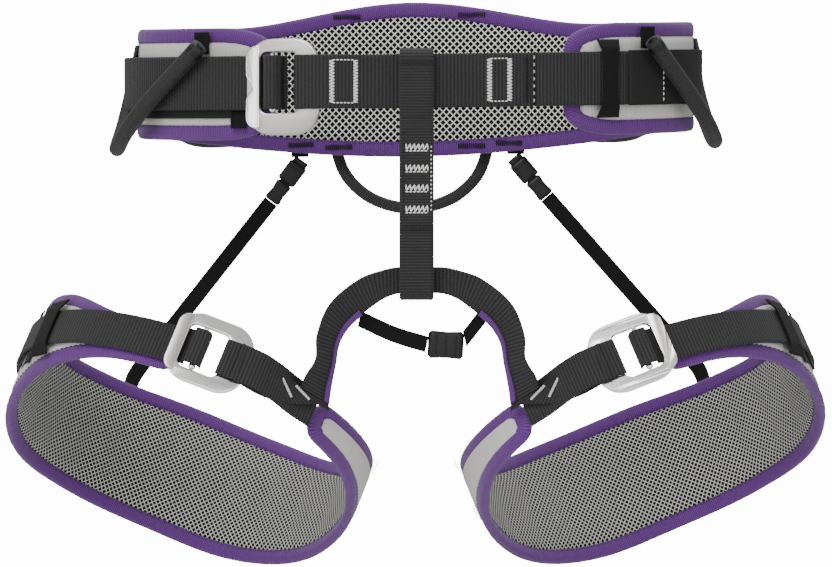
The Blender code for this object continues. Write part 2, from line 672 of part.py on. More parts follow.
def build():
    waist = joint_empty("waist_centre", (0, 0, 0))
    make_belt(waist)
    make_waist_webbing(waist)
    tab("waist_keeper_left", -141.5, -0.0205, -0.0122, TAB_OFF, 0.0042, waist)
    keeper("waist_keeper_right", 139.5, 0.0038, FIRST_LAYER + WEB / 2 + GAP + 0.0006, waist)
    make_gear_loops(waist)
    make_haul_loop(waist)
    make_waist_buckle(waist)
    make_belay_loop(waist)
    left = joint_empty("left_leg_hinge", (0, HINGE_Y, HINGE_Z), waist)
    right = joint_empty("right_leg_hinge", (0, HINGE_Y, HINGE_Z), waist)
    make_leg(left)
    buckle = bpy.data.objects["leg_buckle_hinge"]
    mirrored = Vector((-buckle.matrix_world.translation.x,
                       *buckle.matrix_world.translation.yz))
    right_buckle = joint_empty("right_buckle_hinge", mirrored, right)
    mirror_leg((right, right_buckle))
    make_linker(waist, right)
    make_riser(-1, waist, left)
    make_riser(1, waist, right)


build()
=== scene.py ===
# %% [markdown]
# # A climbing harness, piece by piece
# A sit harness is a padded belt, two padded leg loops, and the webbing that joins them in
# front. The frame is the imported CAD model: every piece here takes its place and its body from
# it, so this script only adds the looks.

# %% Load the frame
import math

import bpy
import numpy as np
from mathutils import Matrix, Vector


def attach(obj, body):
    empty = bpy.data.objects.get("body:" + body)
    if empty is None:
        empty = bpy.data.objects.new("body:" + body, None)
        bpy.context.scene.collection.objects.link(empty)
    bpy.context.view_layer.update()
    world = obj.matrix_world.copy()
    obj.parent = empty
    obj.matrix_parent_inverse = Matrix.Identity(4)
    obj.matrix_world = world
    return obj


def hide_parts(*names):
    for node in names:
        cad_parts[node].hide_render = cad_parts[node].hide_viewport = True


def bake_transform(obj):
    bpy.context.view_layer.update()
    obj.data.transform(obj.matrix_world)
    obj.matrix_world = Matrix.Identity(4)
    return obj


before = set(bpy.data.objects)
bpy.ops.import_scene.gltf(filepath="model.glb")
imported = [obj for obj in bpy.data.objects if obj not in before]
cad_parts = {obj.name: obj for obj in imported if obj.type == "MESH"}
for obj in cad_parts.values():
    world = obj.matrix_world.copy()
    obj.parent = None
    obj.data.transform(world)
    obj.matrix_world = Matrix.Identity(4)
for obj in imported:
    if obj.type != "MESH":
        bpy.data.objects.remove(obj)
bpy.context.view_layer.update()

# %% [markdown]
# ## Camera
# The harness hangs at eye height, a little over two metres away, and is seen almost squarely
# from the front. A long lens keeps the belt's front and back nearly the same size.

# %% Camera
CAMERA_DISTANCE = 2.2
CAMERA_TURN = math.radians(1.3)
CAMERA_HEIGHT = -0.0956
VIEW_WIDTH = 0.416             # metres across the picture at the middle of the harness

camera_data = bpy.data.cameras.new("camera")
camera_data.sensor_width = 36.0
camera_data.lens = 36.0 * CAMERA_DISTANCE / VIEW_WIDTH
camera = bpy.data.objects.new("camera", camera_data)
camera.location = (-CAMERA_DISTANCE * math.sin(CAMERA_TURN),
                   -CAMERA_DISTANCE * math.cos(CAMERA_TURN), CAMERA_HEIGHT)
camera.rotation_euler = (math.pi / 2, 0, -CAMERA_TURN)
bpy.context.scene.collection.objects.link(camera)
bpy.context.scene.camera = camera
print("camera lens", round(camera_data.lens, 1), "mm")

# %% [markdown]
# ## Light
# Big area lights stand for soft boxes: one high in front, two far behind the camera that the
# polished metal mirrors, one low on each side, and one behind that draws the top edges. The
# world is a pale gradient, darker near the floor, so that satin metal has something to reflect.
# Light Path keeps the backdrop plain white where the camera looks straight at it.


# %% Lights and world
def soft_box(name, place, aim, size, watts):
    data = bpy.data.lights.new(name, "AREA")
    data.energy, data.size = watts, size
    lamp = bpy.data.objects.new(name, data)
    lamp.location = place
    lamp.rotation_euler = (Vector(aim) - Vector(place)).to_track_quat("-Z", "Y").to_euler()
    bpy.context.scene.collection.objects.link(lamp)


MIDDLE = (0.0, 0.0, -0.09)
soft_box("key", (-0.75, -1.7, 1.15), MIDDLE, 1.0, 34)
soft_box("front", (0.2, -3.0, 0.25), MIDDLE, 1.7, 18)
soft_box("front_left", (-1.8, -2.45, 0.05), MIDDLE, 1.0, 8)
soft_box("fill_right", (1.5, -1.2, 0.1), MIDDLE, 1.1, 12)
soft_box("fill_left", (-1.7, -0.7, -0.3), MIDDLE, 0.9, 10)
soft_box("top", (0.1, 0.35, 1.5), MIDDLE, 1.0, 20)

world = bpy.data.worlds.new("studio")
bpy.context.scene.world = world
world.use_nodes = True
sky = world.node_tree
background = sky.nodes["Background"]
background.inputs["Color"].default_value = (1.0, 1.0, 1.0, 1)
look = sky.nodes.new("ShaderNodeTexCoord")
split = sky.nodes.new("ShaderNodeSeparateXYZ")
shade = sky.nodes.new("ShaderNodeMapRange")
shade.inputs["From Min"].default_value, shade.inputs["From Max"].default_value = -0.7, 0.8
shade.inputs["To Min"].default_value, shade.inputs["To Max"].default_value = 0.16, 0.62
path = sky.nodes.new("ShaderNodeLightPath")
pick = sky.nodes.new("ShaderNodeMix")
pick.inputs["B"].default_value = 14.0
sky.links.new(look.outputs["Generated"], split.inputs["Vector"])
sky.links.new(split.outputs["Z"], shade.inputs["Value"])
sky.links.new(path.outputs["Is Camera Ray"], pick.inputs["Factor"])
sky.links.new(shade.outputs["Result"], pick.inputs["A"])
sky.links.new(pick.outputs["Result"], background.inputs["Strength"])

# %% [markdown]
# ## Floor
# A pale round floor lies under the harness. It is stage, not part of the object.

# %% Floor
FLOOR_RADIUS, FLOOR_HEIGHT = 0.6, -0.285
rim = [(FLOOR_RADIUS * math.cos(math.tau * i / 96), FLOOR_RADIUS * math.sin(math.tau * i / 96),
        FLOOR_HEIGHT) for i in range(96)]
floor_mesh = bpy.data.meshes.new("floor")
floor_mesh.from_pydata(rim, [], [list(range(96))])
floor = bpy.data.objects.new("floor", floor_mesh)
bpy.context.scene.collection.objects.link(floor)
floor_look = bpy.data.materials.new("pale_floor")
floor_look.use_nodes = True
floor_look.node_tree.nodes["Principled BSDF"].inputs["Base Color"].default_value = (
    0.8, 0.8, 0.79, 1)
floor_look.node_tree.nodes["Principled BSDF"].inputs["Roughness"].default_value = 0.8
floor.data.materials.append(floor_look)

# %% [markdown]
# ## Patterns that several cloths share
# Cloth is pattern: ribs across a webbing, a diamond net in the lining, a fine basket weave in
# the shell. Each pattern is one node group, built once. They all read an attribute called
# "cloth", which every piece stores on its points: metres along and metres across the cloth. A
# pattern then keeps its real size however the piece is bent.


# %% Node helpers
def new_group(name, inputs, outputs):
    """An empty shader group with named sockets, and its input and output nodes."""
    tree = bpy.data.node_groups.new(name, "ShaderNodeTree")
    for label, kind, value in inputs:
        socket = tree.interface.new_socket(label, in_out="INPUT", socket_type=kind)
        if value is not None:
            socket.default_value = value
    for label, kind in outputs:
        tree.interface.new_socket(label, in_out="OUTPUT", socket_type=kind)
    return tree, tree.nodes.new("NodeGroupInput"), tree.nodes.new("NodeGroupOutput")


def do(tree, operation, *values):
    """A Math node fed by sockets or numbers. Gives back its output socket."""
    node = tree.nodes.new("ShaderNodeMath")
    node.operation = operation
    for slot, value in zip(node.inputs, values):
        if isinstance(value, bpy.types.NodeSocket):
            tree.links.new(value, slot)
        else:
            slot.default_value = value
    return node.outputs[0]


def along_across(tree, vector):
    node = tree.nodes.new("ShaderNodeSeparateXYZ")
    tree.links.new(vector, node.inputs[0])
    return node.outputs[0], node.outputs[1]


def noise(tree, scale, detail):
    node = tree.nodes.new("ShaderNodeTexNoise")
    node.inputs["Scale"].default_value = scale
    node.inputs["Detail"].default_value = detail
    return node.outputs[0]


def wave(tree, value, pitch):
    """0 to 1 and back, once for each pitch."""
    turn = do(tree, "MULTIPLY", do(tree, "DIVIDE", value, pitch), math.tau)
    return do(tree, "MULTIPLY_ADD", do(tree, "SINE", turn), 0.5, 0.5)


# %% [markdown]
# ### Ribs and threads
# Webbing is woven so tightly that its weft shows as ribs from edge to edge, and each rib is a
# row of small warp floats. Two waves at right angles, the second one jumping half a step from
# rib to rib, give that. Height goes to a Bump node, and Shade darkens the grooves.

# %% Group for ribbed webbing
ribs, given, made = new_group(
    "Ribbed weave",
    [("Cloth", "NodeSocketVector", None), ("Rib Pitch", "NodeSocketFloat", 0.0014),
     ("Thread Pitch", "NodeSocketFloat", 0.0009), ("Depth", "NodeSocketFloat", 0.8)],
    [("Height", "NodeSocketFloat"), ("Shade", "NodeSocketFloat")])
along, across = along_across(ribs, given.outputs["Cloth"])
rib = wave(ribs, along, given.outputs["Rib Pitch"])
row = do(ribs, "FLOOR", do(ribs, "DIVIDE", along, given.outputs["Rib Pitch"]))
jump = do(ribs, "MULTIPLY", row, math.pi)
turn = do(ribs, "MULTIPLY", do(ribs, "DIVIDE", across, given.outputs["Thread Pitch"]), math.tau)
thread = do(ribs, "MULTIPLY_ADD", do(ribs, "SINE", do(ribs, "ADD", turn, jump)), 0.5, 0.5)
body = do(ribs, "MULTIPLY_ADD", thread, 0.28, do(ribs, "MULTIPLY", rib, 0.72))
ribs.links.new(body, made.inputs["Height"])
blotch = noise(ribs, 90.0, 2.0)
soft = do(ribs, "MULTIPLY_ADD", blotch, 0.24, 0.88)
dark = do(ribs, "SUBTRACT", 1.0, do(ribs, "MULTIPLY", do(ribs, "SUBTRACT", 1.0, body),
                                    given.outputs["Depth"]))
ribs.links.new(do(ribs, "MULTIPLY", dark, soft), made.inputs["Shade"])

# %% [markdown]
# ### Air mesh
# The lining is a knitted spacer mesh: pale threads cross in diamonds with dark holes between
# them. Two diagonal waves make the net. Hole is 1 in the middle of a hole and 0 on a thread.

# %% Group for the lining's net
net, given, made = new_group(
    "Diamond net",
    [("Cloth", "NodeSocketVector", None), ("Pitch", "NodeSocketFloat", 0.0035),
     ("Thread Width", "NodeSocketFloat", 0.42)],
    [("Hole", "NodeSocketFloat"), ("Height", "NodeSocketFloat")])
along, across = along_across(net, given.outputs["Cloth"])
lines = []
for operation in ("ADD", "SUBTRACT"):
    slant = do(net, operation, along, across)
    turn = do(net, "MULTIPLY", do(net, "DIVIDE", slant, given.outputs["Pitch"]), math.pi)
    lines.append(do(net, "ABSOLUTE", do(net, "SINE", turn)))
gap = do(net, "MINIMUM", *lines)
edge = net.nodes.new("ShaderNodeMapRange")
edge.interpolation_type = "SMOOTHSTEP"
net.links.new(gap, edge.inputs["Value"])
net.links.new(given.outputs["Thread Width"], edge.inputs["From Min"])
net.links.new(do(net, "ADD", given.outputs["Thread Width"], 0.15), edge.inputs["From Max"])
net.links.new(edge.outputs["Result"], made.inputs["Hole"])
knot = do(net, "SUBTRACT", 1.0, do(net, "MULTIPLY", do(net, "ADD", *lines), 0.35))
solid = do(net, "SUBTRACT", 1.0, edge.outputs["Result"])
net.links.new(do(net, "MULTIPLY", knot, solid), made.inputs["Height"])

# %% [markdown]
# ### Use and dust
# Nothing on a harness is perfectly even. This group gives a slow drift in tone, and a fine
# grain for fuzz on cloth or for satin on metal and plastic.

# %% Group for drift and grain
use, given, made = new_group(
    "Drift and grain",
    [("Drift Size", "NodeSocketFloat", 0.03), ("Grain Size", "NodeSocketFloat", 0.0006),
     ("Drift", "NodeSocketFloat", 0.2)],
    [("Tone", "NodeSocketFloat"), ("Grain", "NodeSocketFloat")])
place = use.nodes.new("ShaderNodeTexCoord").outputs["Object"]
for label, detail in (("Drift Size", 2.0), ("Grain Size", 4.0)):
    cloud = use.nodes.new("ShaderNodeTexNoise")
    cloud.inputs["Detail"].default_value = detail
    use.links.new(place, cloud.inputs["Vector"])
    use.links.new(do(use, "DIVIDE", 1.0, given.outputs[label]), cloud.inputs["Scale"])
    if label == "Grain Size":
        use.links.new(cloud.outputs[0], made.inputs["Grain"])
    else:
        lift = do(use, "MULTIPLY", do(use, "SUBTRACT", cloud.outputs[0], 0.5),
                  given.outputs["Drift"])
        use.links.new(do(use, "ADD", do(use, "MULTIPLY", lift, 2.0), 1.0), made.inputs["Tone"])

# %% [markdown]
# ## Finishes
# A finish is one material: a Principled shader with its colour, roughness and sheen set on it,
# and the shared patterns in front of it. All the cloths are nylon or polyester, so they are
# rough with a little sheen. The helpers below only wire nodes together.


# %% Material helpers
def new_finish(name, roughness, metallic=0.0, sheen=0.0, shine=0.5):
    """A material with its plain values set, its tree, and its shader."""
    look = bpy.data.materials.new(name)
    look.use_nodes = True
    tree = look.node_tree
    shader = tree.nodes["Principled BSDF"]
    shader.inputs["Roughness"].default_value = roughness
    shader.inputs["Metallic"].default_value = metallic
    shader.inputs["Sheen Weight"].default_value = sheen
    shader.inputs["Sheen Roughness"].default_value = 0.5
    shader.inputs["Specular IOR Level"].default_value = shine
    return look, tree, shader


def use_group(tree, group, **values):
    """The group as a node, with its sockets set. Names are the sockets' names with _ for a
    space, and Cloth is always wired to the pieces' own attribute."""
    node = tree.nodes.new("ShaderNodeGroup")
    node.node_tree = group
    for label, value in values.items():
        node.inputs[label.replace("_", " ")].default_value = value
    if "Cloth" in node.inputs:
        cloth = tree.nodes.new("ShaderNodeAttribute")
        cloth.attribute_name = "cloth"
        tree.links.new(cloth.outputs["Vector"], node.inputs["Cloth"])
    return node


def mix_colour(tree, factor, low, high):
    node = tree.nodes.new("ShaderNodeMix")
    node.data_type = "RGBA"
    for slot, value in ((node.inputs["Factor"], factor), (node.inputs["A"], low),
                        (node.inputs["B"], high)):
        if isinstance(value, bpy.types.NodeSocket):
            tree.links.new(value, slot)
        elif slot.type == "RGBA":
            slot.default_value = (*value, 1)
        else:
            slot.default_value = value
    return [s for s in node.outputs if s.type == "RGBA"][0]


def bump(tree, shader, height, distance):
    node = tree.nodes.new("ShaderNodeBump")
    node.inputs["Distance"].default_value = distance
    node.inputs["Strength"].default_value = 1.0
    tree.links.new(height, node.inputs["Height"])
    tree.links.new(node.outputs[0], shader.inputs["Normal"])


def woven(name, dark, light, rib=0.0014, thread=0.0009, depth=0.00035, roughness=0.75,
          sheen=0.1, shine=0.3):
    """A woven or braided cloth: dark in its grooves, light on its ribs."""
    look, tree, shader = new_finish(name, roughness, sheen=sheen, shine=shine)
    weave = use_group(tree, ribs, Rib_Pitch=rib, Thread_Pitch=thread)
    wear = use_group(tree, use, Drift=0.12)
    tone = do(tree, "MULTIPLY", weave.outputs["Shade"], wear.outputs["Tone"])
    colour = mix_colour(tree, tone, dark, light)
    tree.links.new(colour, shader.inputs["Base Color"])
    height = do(tree, "MULTIPLY_ADD", wear.outputs["Grain"], 0.25, weave.outputs["Height"])
    bump(tree, shader, height, depth)
    return look


def netted(name, pitch, width, hole, pale, depth=0.0006):
    """A spacer mesh: pale threads over dark holes."""
    look, tree, shader = new_finish(name, 0.85, sheen=0.02, shine=0.12)
    holes = use_group(tree, net, Pitch=pitch, Thread_Width=width)
    wear = use_group(tree, use, Drift=0.1)
    thread_tone = mix_colour(tree, wear.outputs["Tone"], tuple(c * 0.6 for c in pale), pale)
    colour = mix_colour(tree, holes.outputs["Hole"], thread_tone, hole)
    tree.links.new(colour, shader.inputs["Base Color"])
    bump(tree, shader, holes.outputs["Height"], depth)
    return look


def moulded(name, colour, roughness, metallic=0.0, grain=0.00002, grain_size=0.0005,
            drift=0.25, shine=0.5):
    """Plastic, rubber or metal: a satin grain, with roughness and tone that drift a little."""
    look, tree, shader = new_finish(name, roughness, metallic=metallic, shine=shine)
    wear = use_group(tree, use, Drift=drift, Grain_Size=grain_size, Drift_Size=0.012)
    shade = mix_colour(tree, wear.outputs["Tone"], tuple(c * 0.55 for c in colour), colour)
    tree.links.new(shade, shader.inputs["Base Color"])
    rough = do(tree, "MULTIPLY", wear.outputs["Tone"], roughness)
    tree.links.new(rough, shader.inputs["Roughness"])
    bump(tree, shader, wear.outputs["Grain"], grain)
    return look


# %% [markdown]
# ### The finishes themselves
# Charcoal webbing has a slight sheen; the belay loop is a tighter weave. The binding is a purple
# tape with a fine rib. Elastic is nearly black. The threads that sew it all are pale on the
# load-bearing tacks and dark or purple everywhere else.

# %% Finishes
FINISH = {
    "lining": netted("waist_air_mesh", 0.0037, 0.33, (0.001, 0.001, 0.001), (0.58, 0.58, 0.54)),
    "leg_lining": netted("leg_air_mesh", 0.0028, 0.33, (0.001, 0.001, 0.001),
                         (0.47, 0.47, 0.435)),
    "shell": woven("grey_pack_cloth", (0.22, 0.217, 0.208), (0.62, 0.61, 0.585), 0.0008, 0.0008,
                   0.00012),
    "panel": woven("black_panel_cloth", (0.002, 0.002, 0.002), (0.010, 0.0095, 0.0095), 0.0007,
                   0.0007, 0.00010, 0.6, 0.03, 0.2),
    "foam": moulded("black_foam", (0.01, 0.01, 0.01), 0.9, grain=0.0002, grain_size=0.0015,
                    shine=0.2),
    "binding": woven("purple_binding_tape", (0.014, 0.002, 0.028), (0.125, 0.023, 0.225), 0.0010,
                     0.0012, 0.00016, 0.7, 0.15, 0.3),
    "webbing": woven("charcoal_webbing", (0.0008, 0.0008, 0.001), (0.031, 0.0305, 0.032),
                     0.0018, 0.0012, 0.00036, 0.75, 0.05, 0.2),
    "loop_webbing": woven("belay_loop_webbing", (0.0008, 0.0008, 0.001), (0.029, 0.028, 0.029),
                          0.0014, 0.0010, 0.00030, 0.75, 0.05, 0.2),
    "elastic": woven("black_elastic", (0.0008, 0.0008, 0.0008), (0.0045, 0.0042, 0.0042), 0.0011,
                     0.0006, 0.00022, 0.7, 0.03, 0.15),
    "pale_thread": woven("pale_thread", (0.34, 0.34, 0.33), (0.85, 0.85, 0.83), 0.0005, 0.0004,
                         0.00005, 0.6),
    "dark_thread": woven("dark_thread", (0.002, 0.002, 0.0022), (0.010, 0.010, 0.011), 0.0005,
                         0.0004, 0.00005, 0.5, 0.03, 0.2),
    "purple_thread": woven("purple_thread", (0.016, 0.003, 0.035), (0.085, 0.016, 0.16), 0.0005,
                           0.0004, 0.00005, 0.5),
    "tube": woven("braided_loop_cover", (0.0015, 0.0015, 0.0015), (0.019, 0.019, 0.0195), 0.0013,
                  0.0013, 0.00018, 0.6, 0.05, 0.3),
    "bar_thread": woven("plum_bar_thread", (0.0015, 0.0006, 0.0025), (0.014, 0.005, 0.024),
                        0.0005, 0.0004, 0.00005, 0.6, 0.03, 0.2),
    "plastic": moulded("black_clip_plastic", (0.005, 0.005, 0.005), 0.42, grain=0.00003,
                       shine=0.3),
    "metal": moulded("satin_buckle_metal", (0.50, 0.485, 0.46), 0.30, 1.0, grain=0.000012,
                     drift=0.18),
    "bright_metal": moulded("polished_buckle_bar", (0.93, 0.92, 0.90), 0.16, 1.0,
                            grain=0.000008, drift=0.1),
}
print(len(FINISH), "finishes")

# %% [markdown]
# ## The two surfaces that carry everything
# The belt is an oval that tilts up at the back, and each leg loop is an oval of its own, turned
# in space. These functions give a point on either one from an angle, a height and a distance
# out of the surface. They repeat the CAD's numbers, so every piece lands on its solid.

# %% Belt and leg surfaces
BELT_HALF_WIDTH, BELT_HALF_DEPTH = 0.1378, 0.0880
BELT_MID, BELT_TILT, BELT_ROLL = 0.0049, 0.055, 0.015
BELT_END, BELT_CORNER = 150.0, 14.0    # degrees from the middle of the back
BELT_END_RADIUS, LEG_END_RADIUS = 0.095, 0.085    # how sharply each one bends at its ends
LEG_HALF_WIDTH, LEG_HALF_DEPTH = 0.0892, 0.0920
LEG_CENTRE = Vector((-0.1094, -0.0067, -0.1635))
LEG_TURN = (Matrix.Rotation(math.radians(2.7), 3, "Z")
            @ Matrix.Rotation(math.radians(22.9), 3, "Y")
            @ Matrix.Rotation(math.radians(-18.9), 3, "X"))
LEG_START, LEG_END = -166.0, 147.0
LEG_ANGLES = (-166, -140, -115, -90, -60, -30, 0, 30, 60, 90, 120, 147)
LEG_UPPER = (9, 12.5, 23, 26, 23, 29, 34.5, 31, 22, 13.5, 10.5, 9.5)
LEG_LOWER = (11, 11.5, 18.5, 29.5, 38, 37, 35.5, 37.5, 34, 22.5, 13, 9.5)
UP = Vector((0, 0, 1))


def ease(t):
    t = min(max(t, 0.0), 1.0)
    return t * t * (3 - 2 * t)


def between(stations, values, x):
    """A smooth value at x through values that stand at the given stations."""
    last = len(stations) - 2
    i = max(k for k in range(last + 1) if k == 0 or stations[k] <= x)
    span = stations[i + 1] - stations[i]
    t = min(max((x - stations[i]) / span, 0), 1)

    def slope(k):
        a, b = max(k - 1, 0), min(k + 1, last + 1)
        return (values[b] - values[a]) / (stations[b] - stations[a])

    return ((2 * t**3 - 3 * t**2 + 1) * values[i] + (t**3 - 2 * t**2 + t) * span * slope(i)
            + (3 * t**2 - 2 * t**3) * values[i + 1] + (t**3 - t**2) * span * slope(i + 1))


def through(values, count, places=None):
    """count vectors on one smooth curve through the given ones."""
    values = [Vector(v) for v in values]
    places = [Vector(p) for p in places or values]
    length = [0.0]
    for a, b in zip(places, places[1:]):
        length.append(length[-1] + (b - a).length)
    return [Vector(between(length, [v[k] for v in values], length[-1] * i / (count - 1))
                   for k in range(3)) for i in range(count)]


def belt(degrees, rise, off=0.0):
    angle = math.radians(degrees)
    x, y = BELT_HALF_WIDTH * math.sin(angle), BELT_HALF_DEPTH * math.cos(angle)
    out = Vector((math.sin(angle) / BELT_HALF_WIDTH, math.cos(angle) / BELT_HALF_DEPTH, 0))
    middle = BELT_MID + BELT_TILT * y + BELT_ROLL * x
    return Vector((x, y, middle + rise)) + off * out.normalized()


def belt_edge(degrees, side):
    """Height of the belt's top (side 1) or bottom (side -1) edge over its middle line."""
    back, end, fade = (0.0408, 0.0285, 42.0) if side > 0 else (0.0395, 0.0262, 84.0)
    height = end + (back - end) * (1 - ease(abs(degrees) / fade))
    past = max(0.0, abs(degrees) - (BELT_END - BELT_CORNER)) / BELT_CORNER
    return side * (height - 0.013 * (1 - math.sqrt(max(0.0, 1 - min(past, 1) ** 2))))


def leg(degrees, rise, off=0.0):
    angle = math.radians(degrees)
    out = Vector((math.sin(angle) / LEG_HALF_WIDTH, math.cos(angle) / LEG_HALF_DEPTH, 0))
    local = Vector((LEG_HALF_WIDTH * math.sin(angle), LEG_HALF_DEPTH * math.cos(angle), rise))
    return LEG_CENTRE + LEG_TURN @ (local + off * out.normalized())


def leg_edge(degrees, side):
    return side * between(LEG_ANGLES, LEG_UPPER if side > 0 else LEG_LOWER, degrees) / 1000


def out_of(place, degrees, rise):
    """The direction out of a surface at a point of it."""
    return (place(degrees, rise, 0.001) - place(degrees, rise, 0.0)).normalized()


print("belt reaches", [round(c, 3) for c in belt(90, 0)], "at its right side")

# %% [markdown]
# ## One way to make a strip, a tube or a tape
# Nearly everything here is one cross-section carried along a line: a flat one for webbing, a
# round one for a tube, a folded one for the binding. So one function, loft, joins rings of
# points into a closed skin, turns it outward, and stores the cloth attribute.


# %% Loft
def mesh_piece(name, points, faces, finish, cloth=None, smooth=True):
    mesh = bpy.data.meshes.new(name)
    mesh.from_pydata([tuple(p) for p in points], [], faces)
    if cloth is not None:
        layer = mesh.attributes.new("cloth", "FLOAT_VECTOR", "POINT")
        layer.data.foreach_set("vector", np.array(cloth, np.float32).ravel())
    mesh.materials.append(FINISH[finish])
    if smooth:
        mesh.shade_smooth()
    piece = bpy.data.objects.new(name, mesh)
    bpy.context.scene.collection.objects.link(piece)
    return piece


def skin(ring_count, side_count, closed):
    """Faces between rings of points that follow each other, with flat ends if it isn't closed."""
    faces = []
    for i in range(ring_count if closed else ring_count - 1):
        a, b = i * side_count, (i + 1) % ring_count * side_count
        for j in range(side_count):
            k = (j + 1) % side_count
            faces.append((a + j, a + k, b + k, b + j))
    if not closed:
        faces.append(tuple(reversed(range(side_count))))
        faces.append(tuple(range((ring_count - 1) * side_count, ring_count * side_count)))
    return faces


def faces_out(points, faces):
    """The same faces, turned so that the skin's normals point outward."""
    volume = 0.0
    for face in faces:
        a = Vector(points[face[0]])
        for j in range(1, len(face) - 1):
            volume += a.dot(Vector(points[face[j]]).cross(Vector(points[face[j + 1]])))
    return faces if volume > 0 else [tuple(reversed(face)) for face in faces]


def loft(name, rings, finish, cloth, closed=False):
    points = [p for ring in rings for p in ring]
    faces = faces_out(points, skin(len(rings), len(rings[0]), closed))
    return mesh_piece(name, points, faces, finish, [c for ring in cloth for c in ring])


def run_lengths(points):
    lengths = [0.0]
    for a, b in zip(points, points[1:]):
        lengths.append(lengths[-1] + (b - a).length)
    return lengths


# %% [markdown]
# ### Webbing
# A piece of webbing is a flat bar with round selvedges that are a little thicker than its
# middle. The line is a list of middle points, each with the direction across the webbing and
# the direction out of it.


# %% Webbing
LINE_STEP = 1.2                 # most degrees between two rings of a webbing on a surface


def tape_outline(half, thickness, columns=8):
    """The cross-section: pairs of across and out, in metres, once round."""
    t, top = thickness / 2, []
    top += [(-half + t * 0.25, t * 0.62), (-half + t * 0.9, t)]
    flat = half - 2.2 * t
    top += [(-flat + 2 * flat * i / columns, t * 0.9) for i in range(columns + 1)]
    top += [(half - t * 0.9, t), (half - t * 0.25, t * 0.62)]
    return top + [(half, 0)] + [(x, -y) for x, y in reversed(top)] + [(-half, 0)]


def webbing(name, line, half, thickness, finish, columns=8):
    """line is [(middle, across, out, optional half width)]."""
    lengths = run_lengths([s[0] for s in line])
    rings, cloth = [], []
    for station, s in zip(line, lengths):
        middle, across, out = station[:3]
        width = station[3] if len(station) > 3 else half
        outline = tape_outline(width, thickness, columns)
        rings.append([middle + x * across + y * out for x, y in outline])
        cloth.append([(s, x * half / width, y) for x, y in outline])
    return loft(name, rings, finish, cloth)


def surface_line(place, stations, rise):
    """A line for webbing on a surface, through stations of (degrees, offset)."""
    stations = sorted(stations)
    angles, offs = [s[0] for s in stations], [s[1] for s in stations]
    line = []
    for a, b in zip(angles, angles[1:]):
        count = max(2, math.ceil((b - a) / LINE_STEP))
        line += [a + (b - a) * i / count for i in range(count)]
    line.append(angles[-1])
    found = []
    for degrees in line:
        off = between(angles, offs, degrees)
        across = (place(degrees, rise + 0.001, off) - place(degrees, rise, off)).normalized()
        found.append((place(degrees, rise, off), across, out_of(place, degrees, rise)))
    return found


def free_line(stations, count):
    """A line for webbing in the open, through stations of (middle, vector to its edge)."""
    places = [s[0] for s in stations]
    middles = through(places, count)
    edges = through([s[1] for s in stations], count, places)
    line = []
    for i, (middle, edge) in enumerate(zip(middles, edges)):
        ahead = middles[min(i + 1, count - 1)] - middles[max(i - 1, 0)]
        out = ahead.cross(edge).normalized()
        line.append((middle, edge.normalized(), out, edge.length))
    return line


# %% [markdown]
# ### Tubes
# A tube carries a ring of points along a line. The ring's first direction is passed on from
# point to point, so that it doesn't twist.


# %% Tube
def tube(name, points, radius, finish, sides=16):
    """radius may be one number or one for each point."""
    count = len(points)
    lengths = run_lengths(points)
    side, rings, cloth = None, [], []
    for i, point in enumerate(points):
        ahead = (points[min(i + 1, count - 1)] - points[max(i - 1, 0)]).normalized()
        side = side or ahead.orthogonal()
        side = (side - ahead * side.dot(ahead)).normalized()
        other = ahead.cross(side)
        r = radius[i] if hasattr(radius, "__len__") else radius
        turns = [math.tau * j / sides for j in range(sides)]
        rings.append([point + r * (math.cos(a) * side + math.sin(a) * other) for a in turns])
        cloth.append([(lengths[i], r * a, 0) for a in turns])
    return loft(name, rings, finish, cloth)


# %% [markdown]
# ### Stitches
# A stitch is a short thread that dips into the cloth at both ends, so it is modelled as a small
# spindle. A seam is many of them in one mesh, and a bar tack is many side by side, which is how
# a sewing machine locks a loop.

# %% Stitches
SPINDLE = [(-0.5, 0.15, -0.6), (-0.36, 0.75, 0.0), (0.0, 1.0, 0.35), (0.36, 0.75, 0.0),
           (0.5, 0.15, -0.6)]          # along, thickness and lift of each ring
SPINDLE_SIDES = 6


def stitches(name, found, radius, finish):
    """found is [(middle, vector from end to end, direction out)]. One mesh holds them all."""
    points, faces, cloth = [], [], []
    turns = [math.tau * j / SPINDLE_SIDES for j in range(SPINDLE_SIDES)]
    pattern = skin(len(SPINDLE), SPINDLE_SIDES, False)
    for middle, run, out in found:
        start = len(points)
        side = run.cross(out).normalized()
        for along, thick, lift in SPINDLE:
            centre = middle + run * along + out * radius * lift
            for a in turns:
                points.append(centre + radius * thick * (math.cos(a) * side
                                                         + math.sin(a) * out))
                cloth.append((along * run.length, radius * a, 0))
        faces += [tuple(start + k for k in face) for face in pattern]
    one = points[:len(SPINDLE) * SPINDLE_SIDES]
    if faces_out(one, pattern) is not pattern:
        faces = [tuple(reversed(face)) for face in faces]
    return mesh_piece(name, points, faces, finish, cloth)


def seam(line, outs, length=0.0024, gap=0.0009):
    """Places for stitches along a line of points, with the direction out at each."""
    lengths, found = run_lengths(line), []
    k, s = 0, gap
    while s + length < lengths[-1]:
        middle = s + length / 2
        while lengths[k + 1] < middle:
            k += 1
        t = (middle - lengths[k]) / (lengths[k + 1] - lengths[k])
        run = (line[k + 1] - line[k]).normalized() * length
        found.append((line[k].lerp(line[k + 1], t), run, outs[k].lerp(outs[k + 1], t)))
        s += length + gap
    return found


def bar_tack(middle, along, across, out, length, width, pitch=0.0008, slant=0.5):
    """Places for the stitches of a bar tack: length is along it, and each stitch crosses it."""
    count = max(3, round(length / pitch))
    found = []
    for i in range(count):
        s = length * ((i + 0.5) / count - 0.5)
        lean = along * pitch * (slant if i % 2 else -slant)
        found.append((middle + along * s, across * width + lean, out))
    return found


